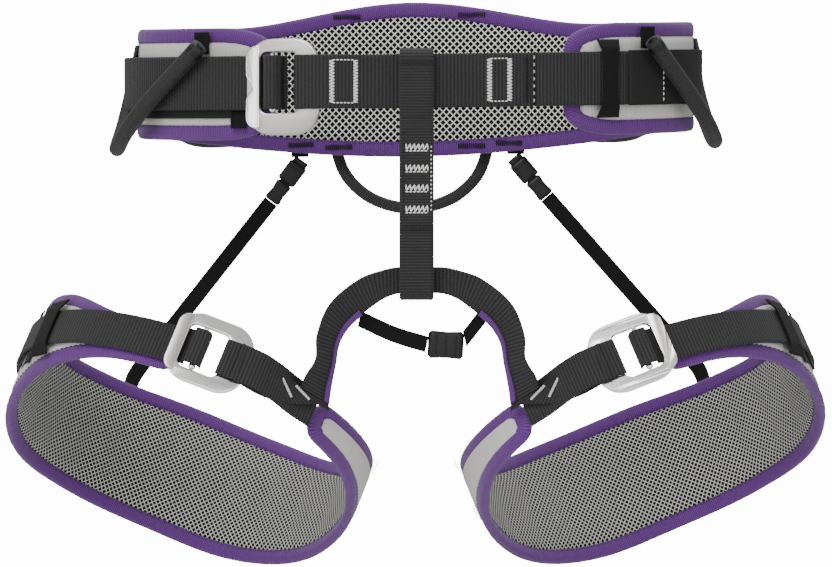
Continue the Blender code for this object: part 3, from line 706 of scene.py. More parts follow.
def belongs(piece, body, slot, *nodes):
    """The piece rides on a body and stands for CAD nodes. slot is not used."""
    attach(piece, body)
    if nodes:
        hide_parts(*nodes)
    return piece


def sew(name, found, radius, finish, body, slot):
    """Stitches that ride on a body."""
    return belongs(stitches(name, found, radius, finish), body, slot)


def mirrored(piece, name):
    """The same piece on the other side of the harness."""
    mesh = piece.data.copy()
    mesh.transform(Matrix.Scale(-1, 4, (1, 0, 0)))
    mesh.flip_normals()
    twin = bpy.data.objects.new(name, mesh)
    for old in piece.modifiers:
        new = twin.modifiers.new(old.name, old.type)
        for label in ("levels", "render_levels", "thickness", "offset"):
            if hasattr(old, label):
                setattr(new, label, getattr(old, label))
    bpy.context.scene.collection.objects.link(twin)
    return twin


# %% [markdown]
# ## Padding
# The belt and the leg loops are sandwiches: a mesh lining, a sheet of foam and a cloth shell,
# sewn together round the rim. The foam pushes the covers out, so each panel is crowned in the
# middle and thin at the rim. Blender's Cloth does this well: a closed, thin envelope with its
# rim pinned, blown up with a little pressure and no gravity. The grid keeps its own points, so
# the lining and the shell can be taken off it afterwards. How far a point may move is capped,
# because the webbing lies close on the outside.

# %% Blow up an envelope
PRESSURE, FRAMES = 4.0, 20


def envelope(place, edge, start, end, inset, inset_degrees, inner, outer, columns, rows):
    """A closed thin bag on a surface. Gives its points, its faces, and which points are where:
    a table of (column, row) to the inner point and the outer point, which at the rim is one."""
    points, table = [], {}
    first, last = start + inset_degrees, end - inset_degrees
    for i in range(columns + 1):
        degrees = first + (last - first) * i / columns
        top, bottom = edge(degrees, 1) - inset, edge(degrees, -1) + inset
        for j in range(rows + 1):
            rise = bottom + (top - bottom) * j / rows
            rim = i in (0, columns) or j in (0, rows)
            offs = [(inner + outer) / 2] if rim else [inner, outer]
            here = []
            for off in offs:
                here.append(len(points))
                points.append(place(degrees, rise, off))
            table[i, j] = (here[0], here[-1])
    faces = []
    for i in range(columns):
        for j in range(rows):
            corners = [table[i, j], table[i + 1, j], table[i + 1, j + 1], table[i, j + 1]]
            faces.append(tuple(c[0] for c in reversed(corners)))
            faces.append(tuple(c[1] for c in corners))
    return points, faces, table


def blow_up(points, faces, pinned, caps):
    """Runs Cloth on the envelope. caps holds the most a point may move outward and inward."""
    start = np.array(points, float)
    mesh = bpy.data.meshes.new("envelope")
    mesh.from_pydata([tuple(p) for p in points], [], faces_out(points, faces))
    bag = bpy.data.objects.new("envelope", mesh)
    bpy.context.scene.collection.objects.link(bag)
    bag.vertex_groups.new(name="rim").add(pinned, 1.0, "REPLACE")
    cloth = bag.modifiers.new("cloth", "CLOTH")
    cloth.settings.use_pressure = True
    cloth.settings.uniform_pressure_force = PRESSURE
    cloth.settings.effector_weights.gravity = 0.0
    cloth.settings.vertex_group_mass = "rim"
    cloth.settings.quality = 5
    cloth.settings.tension_stiffness = 12.0
    cloth.settings.compression_stiffness = 12.0
    cloth.settings.bending_stiffness = 0.4
    scene = bpy.context.scene
    for number in range(1, FRAMES + 1):
        scene.frame_set(number)
    settled = bag.evaluated_get(bpy.context.evaluated_depsgraph_get()).to_mesh()
    moved = np.array([v.co for v in settled.vertices], float)
    bpy.data.objects.remove(bag, do_unlink=True)
    scene.frame_set(1)
    step = moved - start
    size = np.linalg.norm(step, axis=1)
    most = np.maximum(np.abs(np.array(caps)), 1e-9)
    scale = np.where(size > 1e-9, most * np.tanh(size / most) / np.maximum(size, 1e-9), 0)
    return start + step * scale[:, None], float(size.max())


def make_pad(name, place, edge, start, end, inset, degrees, inner, outer, shape, puff,
             lining_gap):
    """The blown-up foam and shell, and the lining on its inner side."""
    columns, rows = shape
    points, faces, table = envelope(place, edge, start, end, inset, degrees, inner, outer,
                                    columns, rows)
    first, last = start + degrees, end - degrees
    caps, outs, cloth = ([None] * len(points) for _ in range(3))
    length = 0.0
    for i in range(columns + 1):
        angle = first + (last - first) * i / columns
        if i:
            length += (place(angle, 0) - place(angle - (last - first) / columns, 0)).length
        for j in range(rows + 1):
            top, bottom = edge(angle, 1) - inset, edge(angle, -1) + inset
            rise = bottom + (top - bottom) * j / rows
            out = out_of(place, angle, rise)
            crown = min(1.0, 3.2 * min(j / rows, 1 - j / rows)) ** 0.7
            crown *= min(1.0, min(i, columns - i) / 3)
            for k, index in enumerate(table[i, j]):
                caps[index] = (-puff[0], puff[1])[k] * crown
                outs[index] = out
                cloth[index] = (length, rise, 0)
    pinned = [table[key][0] for key in table if table[key][0] == table[key][1]]
    settled, grew = blow_up(points, faces, pinned, caps)
    print(name, "grew by", round(grew * 1000, 1), "mm before its cap")
    pad = mesh_piece(name + "_pad", settled, faces_out(list(map(Vector, settled)), faces),
                     "shell", cloth)
    pad.data.materials.append(FINISH["foam"])
    inside = {i for key, (i, o) in table.items() if i != o}
    for face in pad.data.polygons:
        if any(v in inside for v in face.vertices):
            face.material_index = 1
    pad.modifiers.new("finer", "SUBSURF").levels = 1
    lining_points, lining_cloth, index_of = [], [], {}
    for (i, j), (inner_point, _) in table.items():
        index_of[i, j] = len(lining_points)
        rim = i in (0, columns) or j in (0, rows)
        away = outs[inner_point] * (lining_gap * (0.35 if rim else 1.0))
        lining_points.append(Vector(settled[inner_point]) - away)
        lining_cloth.append(cloth[inner_point])
    lining_faces = [(index_of[i, j], index_of[i, j + 1], index_of[i + 1, j + 1],
                     index_of[i + 1, j]) for i in range(columns) for j in range(rows)]
    lining = mesh_piece(name + "_lining_mesh", lining_points, lining_faces,
                        "lining" if name == "waist" else "leg_lining", lining_cloth)
    thick = lining.modifiers.new("thickness", "SOLIDIFY")
    thick.thickness, thick.offset = 0.0008, 0.0
    lining.modifiers.new("finer", "SUBSURF").levels = 1
    for piece in (pad, lining):
        piece.modifiers["finer"].render_levels = 1
    return pad, lining


# %% [markdown]
# ### The belt's padding
# The belt is seven millimetres thick. Its inner side may crown by two millimetres; its outer
# side less, because the webbing lies on it.

# %% Belt padding
BINDING = 0.0042                # from the rim to the middle of the folded tape
BELT_INSET, LEG_INSET = 0.0056, 0.0053    # from the rim to the edge of the padding
LINING_AT, SHELL_AT, LEG_SHELL_AT = -0.0052, 0.0022, 0.0014
LINING_GAP = 0.0009             # from the foam to the middle of the lining
waist_pad, waist_lining = make_pad(
    "waist", belt, belt_edge, -BELT_END, BELT_END, BELT_INSET, math.degrees(BELT_INSET / BELT_END_RADIUS),
    LINING_AT + 0.0014, SHELL_AT, (150, 16), (0.0018, 0.0010), LINING_GAP)
belongs(waist_pad, "waist", "shell_fabric", "waist_foam", "waist_outer_shell")
belongs(waist_lining, "waist", "lining_mesh", "waist_lining")

# %% [markdown]
# ### Leg padding
# The leg loops use a thinner foam. The left one is made first, and the right one is its mirror
# image, which is how such loops are cut as well.

# %% Leg padding
LEG_BINDING = 0.0039
pad, lining = make_pad(
    "leg", leg, leg_edge, LEG_START, LEG_END, LEG_INSET, math.degrees(LEG_INSET / LEG_END_RADIUS),
    LINING_AT + 0.0018, LEG_SHELL_AT, (120, 16), (0.0016, 0.0009), LINING_GAP)
pad.name, lining.name = "leg_pad_left", "leg_lining_mesh_left"
LEG_PIECES = [(pad, "leg", "shell_fabric", ("leg_foam", "leg_outer_shell"), 0.55),
              (lining, "leg", "lining_mesh", ("leg_lining",), None)]

# %% [markdown]
# ## Binding
# A purple tape is folded over the raw rim of every pad and sewn through all layers. It is a
# soft, flattened bead about seven millimetres wide. Its line goes once round the pad's outline,
# evened out so that the corners turn gently, and a seam runs along each side of it.


# %% Binding
def outline_path(edge, start, end, inset, inset_degrees, metres_per_degree, count):
    """(degrees, rise) once round a pad, evenly spaced, with its corners rounded."""
    first, last = start + inset_degrees, end - inset_degrees
    rough = []
    for side in (1, -1):
        run = np.linspace(first, last, 160)
        for degrees in run if side > 0 else run[::-1]:
            rough.append((degrees * metres_per_degree, edge(degrees, side) - side * inset))
    rough = np.array(rough + rough[:1])
    steps = np.r_[0, np.cumsum(np.linalg.norm(np.diff(rough, axis=0), axis=1))]
    even = np.linspace(0, steps[-1], count, endpoint=False)
    path = np.c_[np.interp(even, steps, rough[:, 0]), np.interp(even, steps, rough[:, 1])]
    for _ in range(4):
        path = (np.roll(path, 1, 0) + 2 * path + np.roll(path, -1, 0)) / 4
    return [(x / metres_per_degree, rise) for x, rise in path]


def binding(name, place, path, off, half_wide, half_thick, thread):
    count = len(path)
    middles = [place(d, r, off) for d, r in path]
    lengths = run_lengths(middles)
    rings, cloth, seams = [], [], {1: ([], []), -1: ([], [])}
    sides = 18
    for i, (degrees, rise) in enumerate(path):
        ahead = (middles[(i + 1) % count] - middles[i - 1]).normalized()
        out = out_of(place, degrees, rise)
        out = (out - ahead * out.dot(ahead)).normalized()
        inward = ahead.cross(out)
        ring, marks = [], []
        for j in range(sides):
            a = math.tau * j / sides
            c, s = math.cos(a), math.sin(a)
            x = half_wide * math.copysign(abs(c) ** 0.75, c)
            y = half_thick * math.copysign(abs(s) ** 0.80, s)
            y *= 1.0 + 0.05 * math.sin(i * 1.7) * (0.5 + 0.5 * math.sin(i * 0.37))
            ring.append(middles[i] + x * inward + y * out)
            marks.append((lengths[i], a * 0.0034, 0))
        rings.append(ring)
        cloth.append(marks)
        for side in (1, -1):
            seams[side][0].append(middles[i] + inward * half_wide * thread
                                  + out * side * half_thick * 0.93)
            seams[side][1].append(out * side)
    tape = loft(name, rings, "binding", cloth, closed=True)
    found = []
    for side in (1, -1):
        line, outs = seams[side]
        found += seam(line + line[:1], outs + outs[:1])
    sewn = stitches(name + "_stitching", found, 0.00028, "purple_thread")
    return tape, sewn


def inner_side(place, path, off):
    """+1 if the binding's inward direction points into the pad, else -1."""
    a, b = place(*path[10], off), place(*path[11], off)
    out = out_of(place, *path[10])
    inward = (b - a).cross(out)
    centre = place(path[10][0], 0.0, off)
    return 1 if inward.dot(centre - a) > 0 else -1


PAD_MIDDLE = (LINING_AT + SHELL_AT) / 2
path = outline_path(belt_edge, -BELT_END, BELT_END, BINDING, math.degrees(BINDING / BELT_END_RADIUS),
                    0.00197, 560)
side = inner_side(belt, path, PAD_MIDDLE)
waist_binding, sewn = binding("waist_binding_tape", belt, path, PAD_MIDDLE, 0.0042, 0.0028,
                              0.62 * side)
belongs(waist_binding, "waist", "binding", "waist_binding")
belongs(sewn, "waist", "binding")

LEG_MIDDLE = (LINING_AT + 0.0004 + LEG_SHELL_AT) / 2
path = outline_path(leg_edge, LEG_START, LEG_END, LEG_BINDING,
                    math.degrees(LEG_BINDING / LEG_END_RADIUS), 0.00158, 460)
side = inner_side(leg, path, LEG_MIDDLE)
leg_binding, sewn = binding("leg_binding_tape_left", leg, path, LEG_MIDDLE, 0.0039, 0.0026,
                            0.62 * side)
sewn.name = "leg_binding_stitching_left"
LEG_PIECES += [(leg_binding, "leg", "binding", ("leg_binding",), None),
               (sewn, "leg", "binding", (), None)]
print("binding turns round", len(path), "stations on each leg")

# %% [markdown]
# ## Waist webbing
# Three lengths of 26 mm webbing lie round the belt. The long one is sewn to the shell. Its
# loose tail lies on top, rises over the sliding bar of the buckle and dips behind it. The third
# carries the tie-in loop: it starts over the buckle's fixed bar and crosses the belly.

# %% Waist webbing
GAP = 0.0003
WEB, WEB_HALF, WEB_RISE = 0.0021, 0.0130, 0.0013
FIRST_LAYER = 0.0046
SECOND_LAYER = FIRST_LAYER + WEB + GAP
BUCKLE_AT, PER_DEGREE, BUCKLE_CURVE = -153.0, 0.0023, 0.177
BUCKLE_OFF = SECOND_LAYER + WEB / 2 + 2 * GAP + 0.0013
BAR = 0.0017
OVER_BAR = BAR + GAP + WEB / 2
SHOWN_WEB = WEB * 0.92         # webbing presses a little thinner than its nominal gauge


def at_buckle(along, above):
    return BUCKLE_AT - along / PER_DEGREE, BUCKLE_OFF + above + along**2 / (2 * BUCKLE_CURVE)


def belt_web(name, stations, *nodes):
    piece = webbing(name, surface_line(belt, stations, WEB_RISE), WEB_HALF, SHOWN_WEB,
                    "webbing", 10)
    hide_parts(*nodes)
    return piece


waist_web = belt_web("waist_web", [(BUCKLE_AT, FIRST_LAYER), (-60, FIRST_LAYER),
                                   (60, FIRST_LAYER), (156.8, FIRST_LAYER)], "waist_webbing")
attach(waist_web, "waist")
TAIL = [(-0.0130, -0.0036), (-0.0092, -0.0016), (-0.0089, OVER_BAR - 0.0012),
        (-0.0075, OVER_BAR + 0.0002), (-0.0055, OVER_BAR + 0.0005),
        (-0.0035, OVER_BAR + 0.0002), (-0.0021, OVER_BAR - 0.0012), (-0.0018, -0.0030)]
tail = belt_web("waist_tail", [(-70, SECOND_LAYER), (-110, SECOND_LAYER),
                               (-145.5, SECOND_LAYER)] + [at_buckle(*s) for s in TAIL],
                "waist_strap_tail")
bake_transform(tail)
TIE_IN = [(0.0058, OVER_BAR - 0.0028), (0.0062, OVER_BAR - 0.0004), (0.0085, OVER_BAR),
          (0.0190, OVER_BAR), (0.0260, OVER_BAR - 0.0025)]
TIE_IN_STATIONS = [at_buckle(*s) for s in TIE_IN] + [
    (-170, 0.0068), (-180, 0.0065), (-190, 0.0060), (-202.7, FIRST_LAYER)]
tie_in = belt_web("tie_in_web", TIE_IN_STATIONS, "tie_in_webbing")
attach(tie_in, "waist")

# %% [markdown]
# ### Bar tacks on the belly webbing
# Where layers join, dense bars of pale stitching cross the webbing. They are real threads here,
# a fraction of a millimetre proud, so that they catch the light. Two bars and the thin rows
# that join them make a box, and a dark bar closes each end.


# %% Waist bar tacks
def tack_on(place, degrees, rise, off, length, width, upright=True):
    out = out_of(place, degrees, rise)
    up = (place(degrees, rise + 0.001, off) - place(degrees, rise, off)).normalized()
    side = up.cross(out)
    middle = place(degrees, rise, off)
    along, across = (up, side) if upright else (side, up)
    return bar_tack(middle, along, across, out, length, width)


def belly_angle(x):
    """Degrees round the belt of a point at the front with this x."""
    return (-180 - math.degrees(math.asin(x / BELT_HALF_WIDTH))
            if x > 0 else -180 + math.degrees(math.asin(-x / BELT_HALF_WIDTH)))


def tie_in_off(degrees):
    stations = sorted(TIE_IN_STATIONS)
    return between([s[0] for s in stations], [s[1] for s in stations], degrees)


def on_tie_in(x, rise):
    degrees = belly_angle(x)
    return degrees, rise, tie_in_off(degrees) + SHOWN_WEB / 2 + 0.0001


TACK_HEIGHT, TACK_WIDTH = 0.0205, 0.0027
found = []
for pair in ((-0.0398, -0.0298), (0.0322, 0.0417)):
    for x in pair:
        found += tack_on(belt, *on_tie_in(x, WEB_RISE), TACK_HEIGHT, TACK_WIDTH)
    for rise in (WEB_RISE - TACK_HEIGHT / 2, WEB_RISE + TACK_HEIGHT / 2):
        row = [on_tie_in(x, rise) for x in np.linspace(*pair, 8)]
        found += seam([belt(*spot) for spot in row], [out_of(belt, *spot[:2]) for spot in row],
                      0.0014, 0.0004)
pale = sew("waist_bar_tacks", found, 0.00036, "pale_thread", "waist", "webbing")
found = []
for x in (-0.0605, -0.0570, 0.0500):
    degrees = belly_angle(x)
    off = tie_in_off(degrees) + SHOWN_WEB / 2 + 0.0001
    found += tack_on(belt, degrees, WEB_RISE, off, 0.0215, 0.0018)
sew("waist_dark_tacks", found, 0.00032, "dark_thread", "waist", "webbing")
print(len(pale.data.polygons), "faces of pale thread")

# %% [markdown]
# ## Keepers and tabs
# An elastic keeper holds the webbing's loose end. It is sewn down above and below, so it rises
# over the webbing and flares at the ends. Tabs are short folds of tape that hold other pieces.


# %% Keepers
def keeper_line(place, degrees, rises, offs, half_degrees, count=26):
    line = []
    for i in range(count):
        rise = rises[0] + (rises[-1] - rises[0]) * i / (count - 1)
        off = between(rises, offs, rise)
        middle = place(degrees, rise, off)
        across = place(degrees + half_degrees, rise, off) - middle
        ahead = place(degrees, rise + 0.0005, between(rises, offs, rise + 0.0005)) - middle
        flare = 1 + 0.5 * abs(2 * i / (count - 1) - 1) ** 3
        line.append((middle, across.normalized(), ahead.cross(across).normalized(),
                     across.length * flare))
    return line


def keeper(name, degrees, half, clear, node):
    rises = (-0.0176, -0.0148, -0.0125, 0.0151, 0.0174, 0.0202)
    low, mid = FIRST_LAYER - 0.0007, clear - 0.0012
    line = keeper_line(belt, degrees, rises, (low, mid, clear, clear, mid, low),
                       math.degrees(half / 0.11))
    band = webbing(name, line, half, 0.0010, "elastic", 6)
    found = []
    for rise in (rises[0] + 0.0012, rises[-1] - 0.0012):
        found += tack_on(belt, degrees, rise, low + 0.0006, 2 * half, 0.0016, upright=False)
    belongs(band, "waist", "elastic", node)
    sew(name + "_stitching", found, 0.00028, "dark_thread", "waist", "elastic")


keeper("waist_keeper_band_right", 139.5, 0.0038, FIRST_LAYER + WEB / 2 + GAP + 0.0006,
       "waist_keeper_right")

# %% [markdown]
# Flat black tapes are sewn to the shell: a cover over the end of the webbing on the right, with
# one pale row of stitches, a strip below it on the left, and a band down each side.

# %% Shell tapes
def flat_tape(name, place, stations, rise, half):
    return belongs(webbing(name, surface_line(place, stations, rise), half, 0.0008, "panel", 6),
                   "waist", "shell_fabric")


COVER_OFF = FIRST_LAYER + WEB / 2 + GAP + 0.0005
flat_tape("webbing_cover_right", belt, [(101, COVER_OFF), (134.5, COVER_OFF)], WEB_RISE, 0.0134)
places = [belt(123.5, WEB_RISE + rise, COVER_OFF + 0.0006)
          for rise in np.linspace(-0.0125, 0.0125, 9)]
sew("webbing_cover_stitching", seam(places, [out_of(belt, 123.5, 0)] * 9, 0.0017, 0.0009),
    0.00028, "pale_thread", "waist", "shell_fabric")
flat_tape("webbing_strip_left", belt, [(-146, 0.0036), (-100, 0.0036)], -0.0127, 0.0030)
SIDE_BANDS = (("upper", 97.5, (0.0143, 0.0204), (0.0036, 0.0022)),
              ("lower", 97.5, (-0.0180, -0.0117), (0.0022, 0.0036)),
              ("rear_upper", 46, (0.0143, 0.0204), (0.0036, 0.0022)),
              ("rear_lower", 46, (-0.0238, -0.0117), (0.0022, 0.0036)))
for side, word in ((-1, "left"), (1, "right")):
    for where, degrees, (low, high), offs in SIDE_BANDS:
        line = keeper_line(belt, side * degrees, (low, high), offs, 2.4, 10)
        band = webbing(f"side_band_{where}_{word}", [(m, a, o, 0.0050) for m, a, o, _ in line],
                       0.0050, 0.0008, "panel", 6)
        belongs(band, "waist", "shell_fabric")
print("cover stands", round((COVER_OFF + 0.0004) * 1000, 1), "mm off the belt")

# %% [markdown]
# The tabs are sewn to the shell with a box of dark thread. The same tape, wrapped over the
# binding, shows as short dark bars along its edge.

# %% Tabs
TAB_OFF = 0.0039


def tab(name, degrees, low, high, half, node):
    rises, offs = (low, high), (TAB_OFF, TAB_OFF)
    line = keeper_line(belt, degrees, rises, offs, math.degrees(half / 0.11), 10)
    line = [(m, a, o, half) for m, a, o, _ in line]
    band = webbing(name, line, half, 0.0012, "elastic", 6)
    middle = (low + high) / 2
    found = []
    for share in (-0.7, 0.7):
        turn = math.degrees(half * share / 0.11)
        found += tack_on(belt, degrees + turn, middle, TAB_OFF + 0.0008, (high - low) * 0.8,
                         min(0.0016, half * 0.35))
    belongs(band, "waist", "elastic", node)
    sew(name + "_stitching", found, 0.00026, "dark_thread", "waist", "elastic")


GEAR_TABS = (("front", 127.5, 0.0262, 0.0045), ("side", 66.5, 0.0193, 0.0125),
             ("rear", 27, 0.0193, 0.0045))
LEFT_LEAN = (4.0, 2.8, 1.0)     # degrees that the left front loop's top end leans forward
HAUL_REACH = 0.0385
haul_degrees = math.degrees(math.asin(HAUL_REACH / BELT_HALF_WIDTH))
for side, word in ((-1, "left"), (1, "right")):
    for where, degrees, top, half in GEAR_TABS:
        if (where, word) == ("front", "left"):
            degrees += LEFT_LEAN[0]
        tab(f"gear_tab_band_{where}_{word}", side * degrees, 0.0156, top, half,
            f"gear_tab_{where}_{word}")
    tab(f"haul_tab_band_{word}", side * haul_degrees, -0.0330, -0.0190, 0.0048,
        f"haul_tab_{word}")
RISER_DEGREES = {"left": -24.5, "right": 22.5}
for word, degrees in RISER_DEGREES.items():
    tab(f"riser_tab_band_{word}", degrees, -0.0385, -0.0270, 0.0046, f"riser_tab_{word}")


tab("waist_keeper_tab_left", -141.5, -0.0205, -0.0122, 0.0042, "waist_keeper_left")


def binding_bar(degrees, side, length):
    """Dark stitches that cross the binding, on the wearer's side of it."""
    rise = belt_edge(degrees, side) - side * BINDING
    found = []
    for k in range(round(length / 0.0008)):
        turn = math.degrees((k * 0.0008 - length / 2) / BELT_END_RADIUS)
        middle = belt(degrees + turn, rise, PAD_MIDDLE - 0.0028)
        out = -out_of(belt, degrees + turn, rise)
        found.append((middle, UP * 0.0034, out))
    return found


found = []
for x, side in ((-0.096, 1), (-0.034, 1), (0.032, 1), (-HAUL_REACH, -1), (0.032, -1),
                (-0.0585, -1), (0.0515, -1)):
    found += binding_bar(math.degrees(math.asin(x / BELT_HALF_WIDTH)), side, 0.0105)
sew("binding_bar_tacks", found, 0.00046, "bar_thread", "waist", "elastic")
print(len(found), "stitches across the binding")

# %% [markdown]
# ## Gear loops and haul loop
# Racking loops are cord inside a braided tube. The tube keeps them open, and short sleeves close
# it at the tabs. Each one hangs from its two ends, so it rides on a body of its own.

# %% Gear loops
GEAR_TUBE, HAUL_TUBE = 0.0042, 0.0032
GEAR_OFF = SECOND_LAYER + WEB / 2 + GEAR_TUBE + 0.0006
FRONT_LOOP = ((130, 0.0190, 0), (125, 0.0075, 0.0004), (115, -0.0110, 0.0006),
              (106, -0.0235, 0), (97, -0.0305, -0.0010), (87, -0.0290, -0.0016),
              (79, -0.0200, -0.0010), (73, -0.0050, 0), (71, 0.0090, 0))
REAR_LOOP = ((62, 0.0140, 0), (60.5, -0.0030, 0), (57, -0.0180, 0), (51, -0.0265, 0),
             (44, -0.0285, 0), (36, -0.0265, 0), (30.5, -0.0180, 0), (28, -0.0030, 0),
             (27, 0.0140, 0))


def end_caps(name, points, radius, finish, body, slot):
    """Short tapered sleeves where a tube goes into its tabs."""
    for points, label in ((points, "a"), (points[::-1], "b")):
        run = (points[1] - points[0]).normalized()
        line = [points[0] + run * 0.0012 * k for k in range(7)]
        thick = [radius * s for s in (0.7, 1.05, 1.10, 1.10, 1.10, 1.08, 1.0)]
        belongs(tube(f"{name}_sleeve_{label}", line, thick, finish), body, slot)


for side, word in ((-1, "left"), (1, "right")):
    for loop, where in ((FRONT_LOOP, "front"), (REAR_LOOP, "rear")):
        lean = LEFT_LEAN if (where, word) == ("front", "left") else ()
        lean = lean + (0.0,) * (len(loop) - len(lean))
        points = through([belt(side * (d + extra), rise, GEAR_OFF + more)
                          for (d, rise, more), extra in zip(loop, lean)], 72)
        hose = tube(f"gear_loop_tube_{where}_{word}", points, GEAR_TUBE * 0.97, "tube")
        belongs(hose, f"gear_{where}_{word}", "loop_tube", f"gear_loop_{where}_{word}")
        end_caps(f"gear_loop_{where}_{word}", points, GEAR_TUBE * 0.9, "plastic",
                 f"gear_{where}_{word}", "loop_tube")

# %% [markdown]
# The haul loop hangs in the middle of the back, and it is thinner.

# %% Haul loop
HAUL_OFF = SECOND_LAYER + HAUL_TUBE
top = belt(haul_degrees, -0.0270, HAUL_OFF + 0.001)
outline = ((HAUL_REACH, 0), (HAUL_REACH + 0.0005, -0.0100), (HAUL_REACH - 0.0055, -0.0240),
           (HAUL_REACH - 0.0190, -0.0350), (0, -0.0395))
right = [Vector((x, top.y, top.z + z)) for x, z in outline]
left = [Vector((-p.x, p.y, p.z)) for p in reversed(right[:-1])]
points = through(right + left, 72)
haul = tube("haul_loop_tube", points, HAUL_TUBE * 0.97, "tube")
belongs(haul, "haul", "loop_tube", "haul_loop")
end_caps("haul_loop", points, HAUL_TUBE * 0.92, "plastic", "haul", "loop_tube")
print("haul loop is", round(run_lengths(points)[-1] * 1000), "mm along its tube")

# %% [markdown]
# ## Buckles
# A strap buckle here is two pieces of satin metal: a stamped frame with a wide window and a
# fixed bar, and a loose bar that slides in it and pinches the webbing. A curve with holes gives
# the plate and its rounded edges at once, and the lip at the pulling end is a second plate.


# %% Buckle helpers
def placed(origin, along, up):
    x = Vector(along).normalized()
    z = x.cross(Vector(up)).normalized()
    return Matrix.Translation(origin) @ Matrix((x, z.cross(x), z)).transposed().to_4x4()


def round_outline(width, height, radius, shift=0.0, lift=0.0, steps=8):
    points = []
    for corner, (sx, sy) in enumerate(((1, 1), (-1, 1), (-1, -1), (1, -1))):
        for i in range(steps + 1):
            a = math.radians(90 * (corner + i / steps))
            points.append((shift + sx * (width / 2 - radius) + radius * math.cos(a),
                           lift + sy * (height / 2 - radius) + radius * math.sin(a)))
    return points


def stamped(outlines, thickness, edge, lift=0.0):
    """A flat plate with round edges, as a mesh: outlines are its rim and its windows."""
    curve = bpy.data.curves.new("stamping", "CURVE")
    curve.dimensions, curve.fill_mode = "2D", "BOTH"
    curve.extrude, curve.bevel_depth = thickness / 2 - edge, edge
    curve.bevel_resolution, curve.offset = 3, -edge
    for outline in outlines:
        spline = curve.splines.new("POLY")
        spline.points.add(len(outline) - 1)
        for point, (x, y) in zip(spline.points, outline):
            point.co = (x, y, 0, 1)
        spline.use_cyclic_u = True
    blank = bpy.data.objects.new("stamping", curve)
    bpy.context.scene.collection.objects.link(blank)
    bpy.context.view_layer.update()
    mesh = bpy.data.meshes.new_from_object(
        blank.evaluated_get(bpy.context.evaluated_depsgraph_get()))
    bpy.data.objects.remove(blank, do_unlink=True)
    mesh.transform(Matrix.Translation((0, 0, lift)))
    return mesh


def joined(name, meshes, place, finishes):
    """Several meshes as one piece at place, each with its own finish."""
    points, faces, kinds = [], [], []
    for kind, mesh in enumerate(meshes):
        start = len(points)
        points += [place @ v.co for v in mesh.vertices]
        for face in mesh.polygons:
            faces.append(tuple(start + v for v in face.vertices))
            kinds.append(kind)
    piece = mesh_piece(name, points, faces, finishes[0], smooth=False)
    for finish in finishes[1:]:
        piece.data.materials.append(FINISH[finish])
    for face, kind in zip(piece.data.polygons, kinds):
        face.material_index = kind
    piece.data.shade_smooth()
    split = piece.modifiers.new("crisp", "EDGE_SPLIT")
    split.split_angle = math.radians(38)
    weld = piece.modifiers.new("weld", "WELD")
    weld.merge_threshold = 1e-6
    piece.modifiers.move(1, 0)
    return piece


def loose_bar(name, place, at, half, radius):
    """The sliding bar: a round rod with two stop collars, a little thinner between them."""
    steps = 28
    line = [Vector((at, -half + 2 * half * i / steps, 0)) for i in range(steps + 1)]
    thick = []
    for i in range(steps + 1):
        from_end = min(i, steps - i) / steps
        thick.append(radius * (0.72 if from_end < 0.02 else 1.0 if from_end < 0.09 else 0.93))
    return tube(name, [place @ p for p in line], thick, "bright_metal", sides=20)


# %% [markdown]
# ### Waist buckle
# The frame stands proud of the webbing, with a bright lip at its outer end. The lip has a
# half-round notch for a fingertip. The inner end is wider, and its two ears show above and below
# the strap.

# %% Waist buckle
angle = BUCKLE_AT
origin = belt(angle, -0.0010, BUCKLE_OFF)
ahead = belt(angle - 0.6, -0.0010, BUCKLE_OFF) - belt(angle + 0.6, -0.0010, BUCKLE_OFF)
WAIST_PLACE = placed(origin, ahead, UP)
WIDE, HIGH = 0.0366, 0.0464
STRAP_LIFT = 0.0021             # the strap runs this much above the frame's middle
NOTCH_HALF = 0.0062             # half the height of the fingertip notch
frame_plate = stamped([round_outline(WIDE, HIGH, 0.0125),
                       round_outline(0.0187, 0.0290, 0.0032, -0.00185, STRAP_LIFT),
                       round_outline(0.0043, 0.0230, 0.0015, 0.01305, STRAP_LIFT)],
                      0.0026, 0.0008)


def lip_outline(left, right, high, corner, notch):
    """A bar with rounded corners and a soft notch, this deep, in its outer edge."""
    tight, points = 0.0010, []
    for start, x, side, radius in ((0, right - tight, 1, tight), (90, left + corner, 1, corner),
                                   (180, left + corner, -1, corner),
                                   (270, right - tight, -1, tight)):
        if start == 180:
            for i in range(1, 24):
                y = NOTCH_HALF * (1 - i / 12)
                points.append((left + notch * (1 + math.cos(math.pi * y / NOTCH_HALF)) / 2, y))
        for i in range(9):
            a = math.radians(start + 90 * i / 8)
            points.append((x + radius * math.cos(a), side * (high / 2 - radius)
                           + radius * math.sin(a)))
    return points


lip = stamped([lip_outline(-0.0182, -0.0114, 0.0400, 0.0055, 0.0034)], 0.0018, 0.0006,
              lift=0.0021)
waist_buckle = joined("waist_buckle_plate", [frame_plate, lip], WAIST_PLACE,
                      ["metal", "bright_metal"])
belongs(waist_buckle, "waist_buckle", "buckle_metal", "waist_buckle_frame")
bar = loose_bar("waist_buckle_bar", WAIST_PLACE @ Matrix.Translation((0, STRAP_LIFT, 0)),
                -0.0055, 0.0141, BAR)
belongs(bar, "waist_buckle", "buckle_metal", "waist_buckle_slider")
print("waist buckle", round(WIDE * 1000, 1), "x", round(HIGH * 1000, 1), "mm")

# %% [markdown]
# ## Belay loop
# The belay loop is the strongest piece: one closed ring of webbing, its ends overlapped in front
# and locked with four bar tacks. It turns round the tie-in webbing above and the leg bridge
# below. The overlap is a second layer with a folded end.

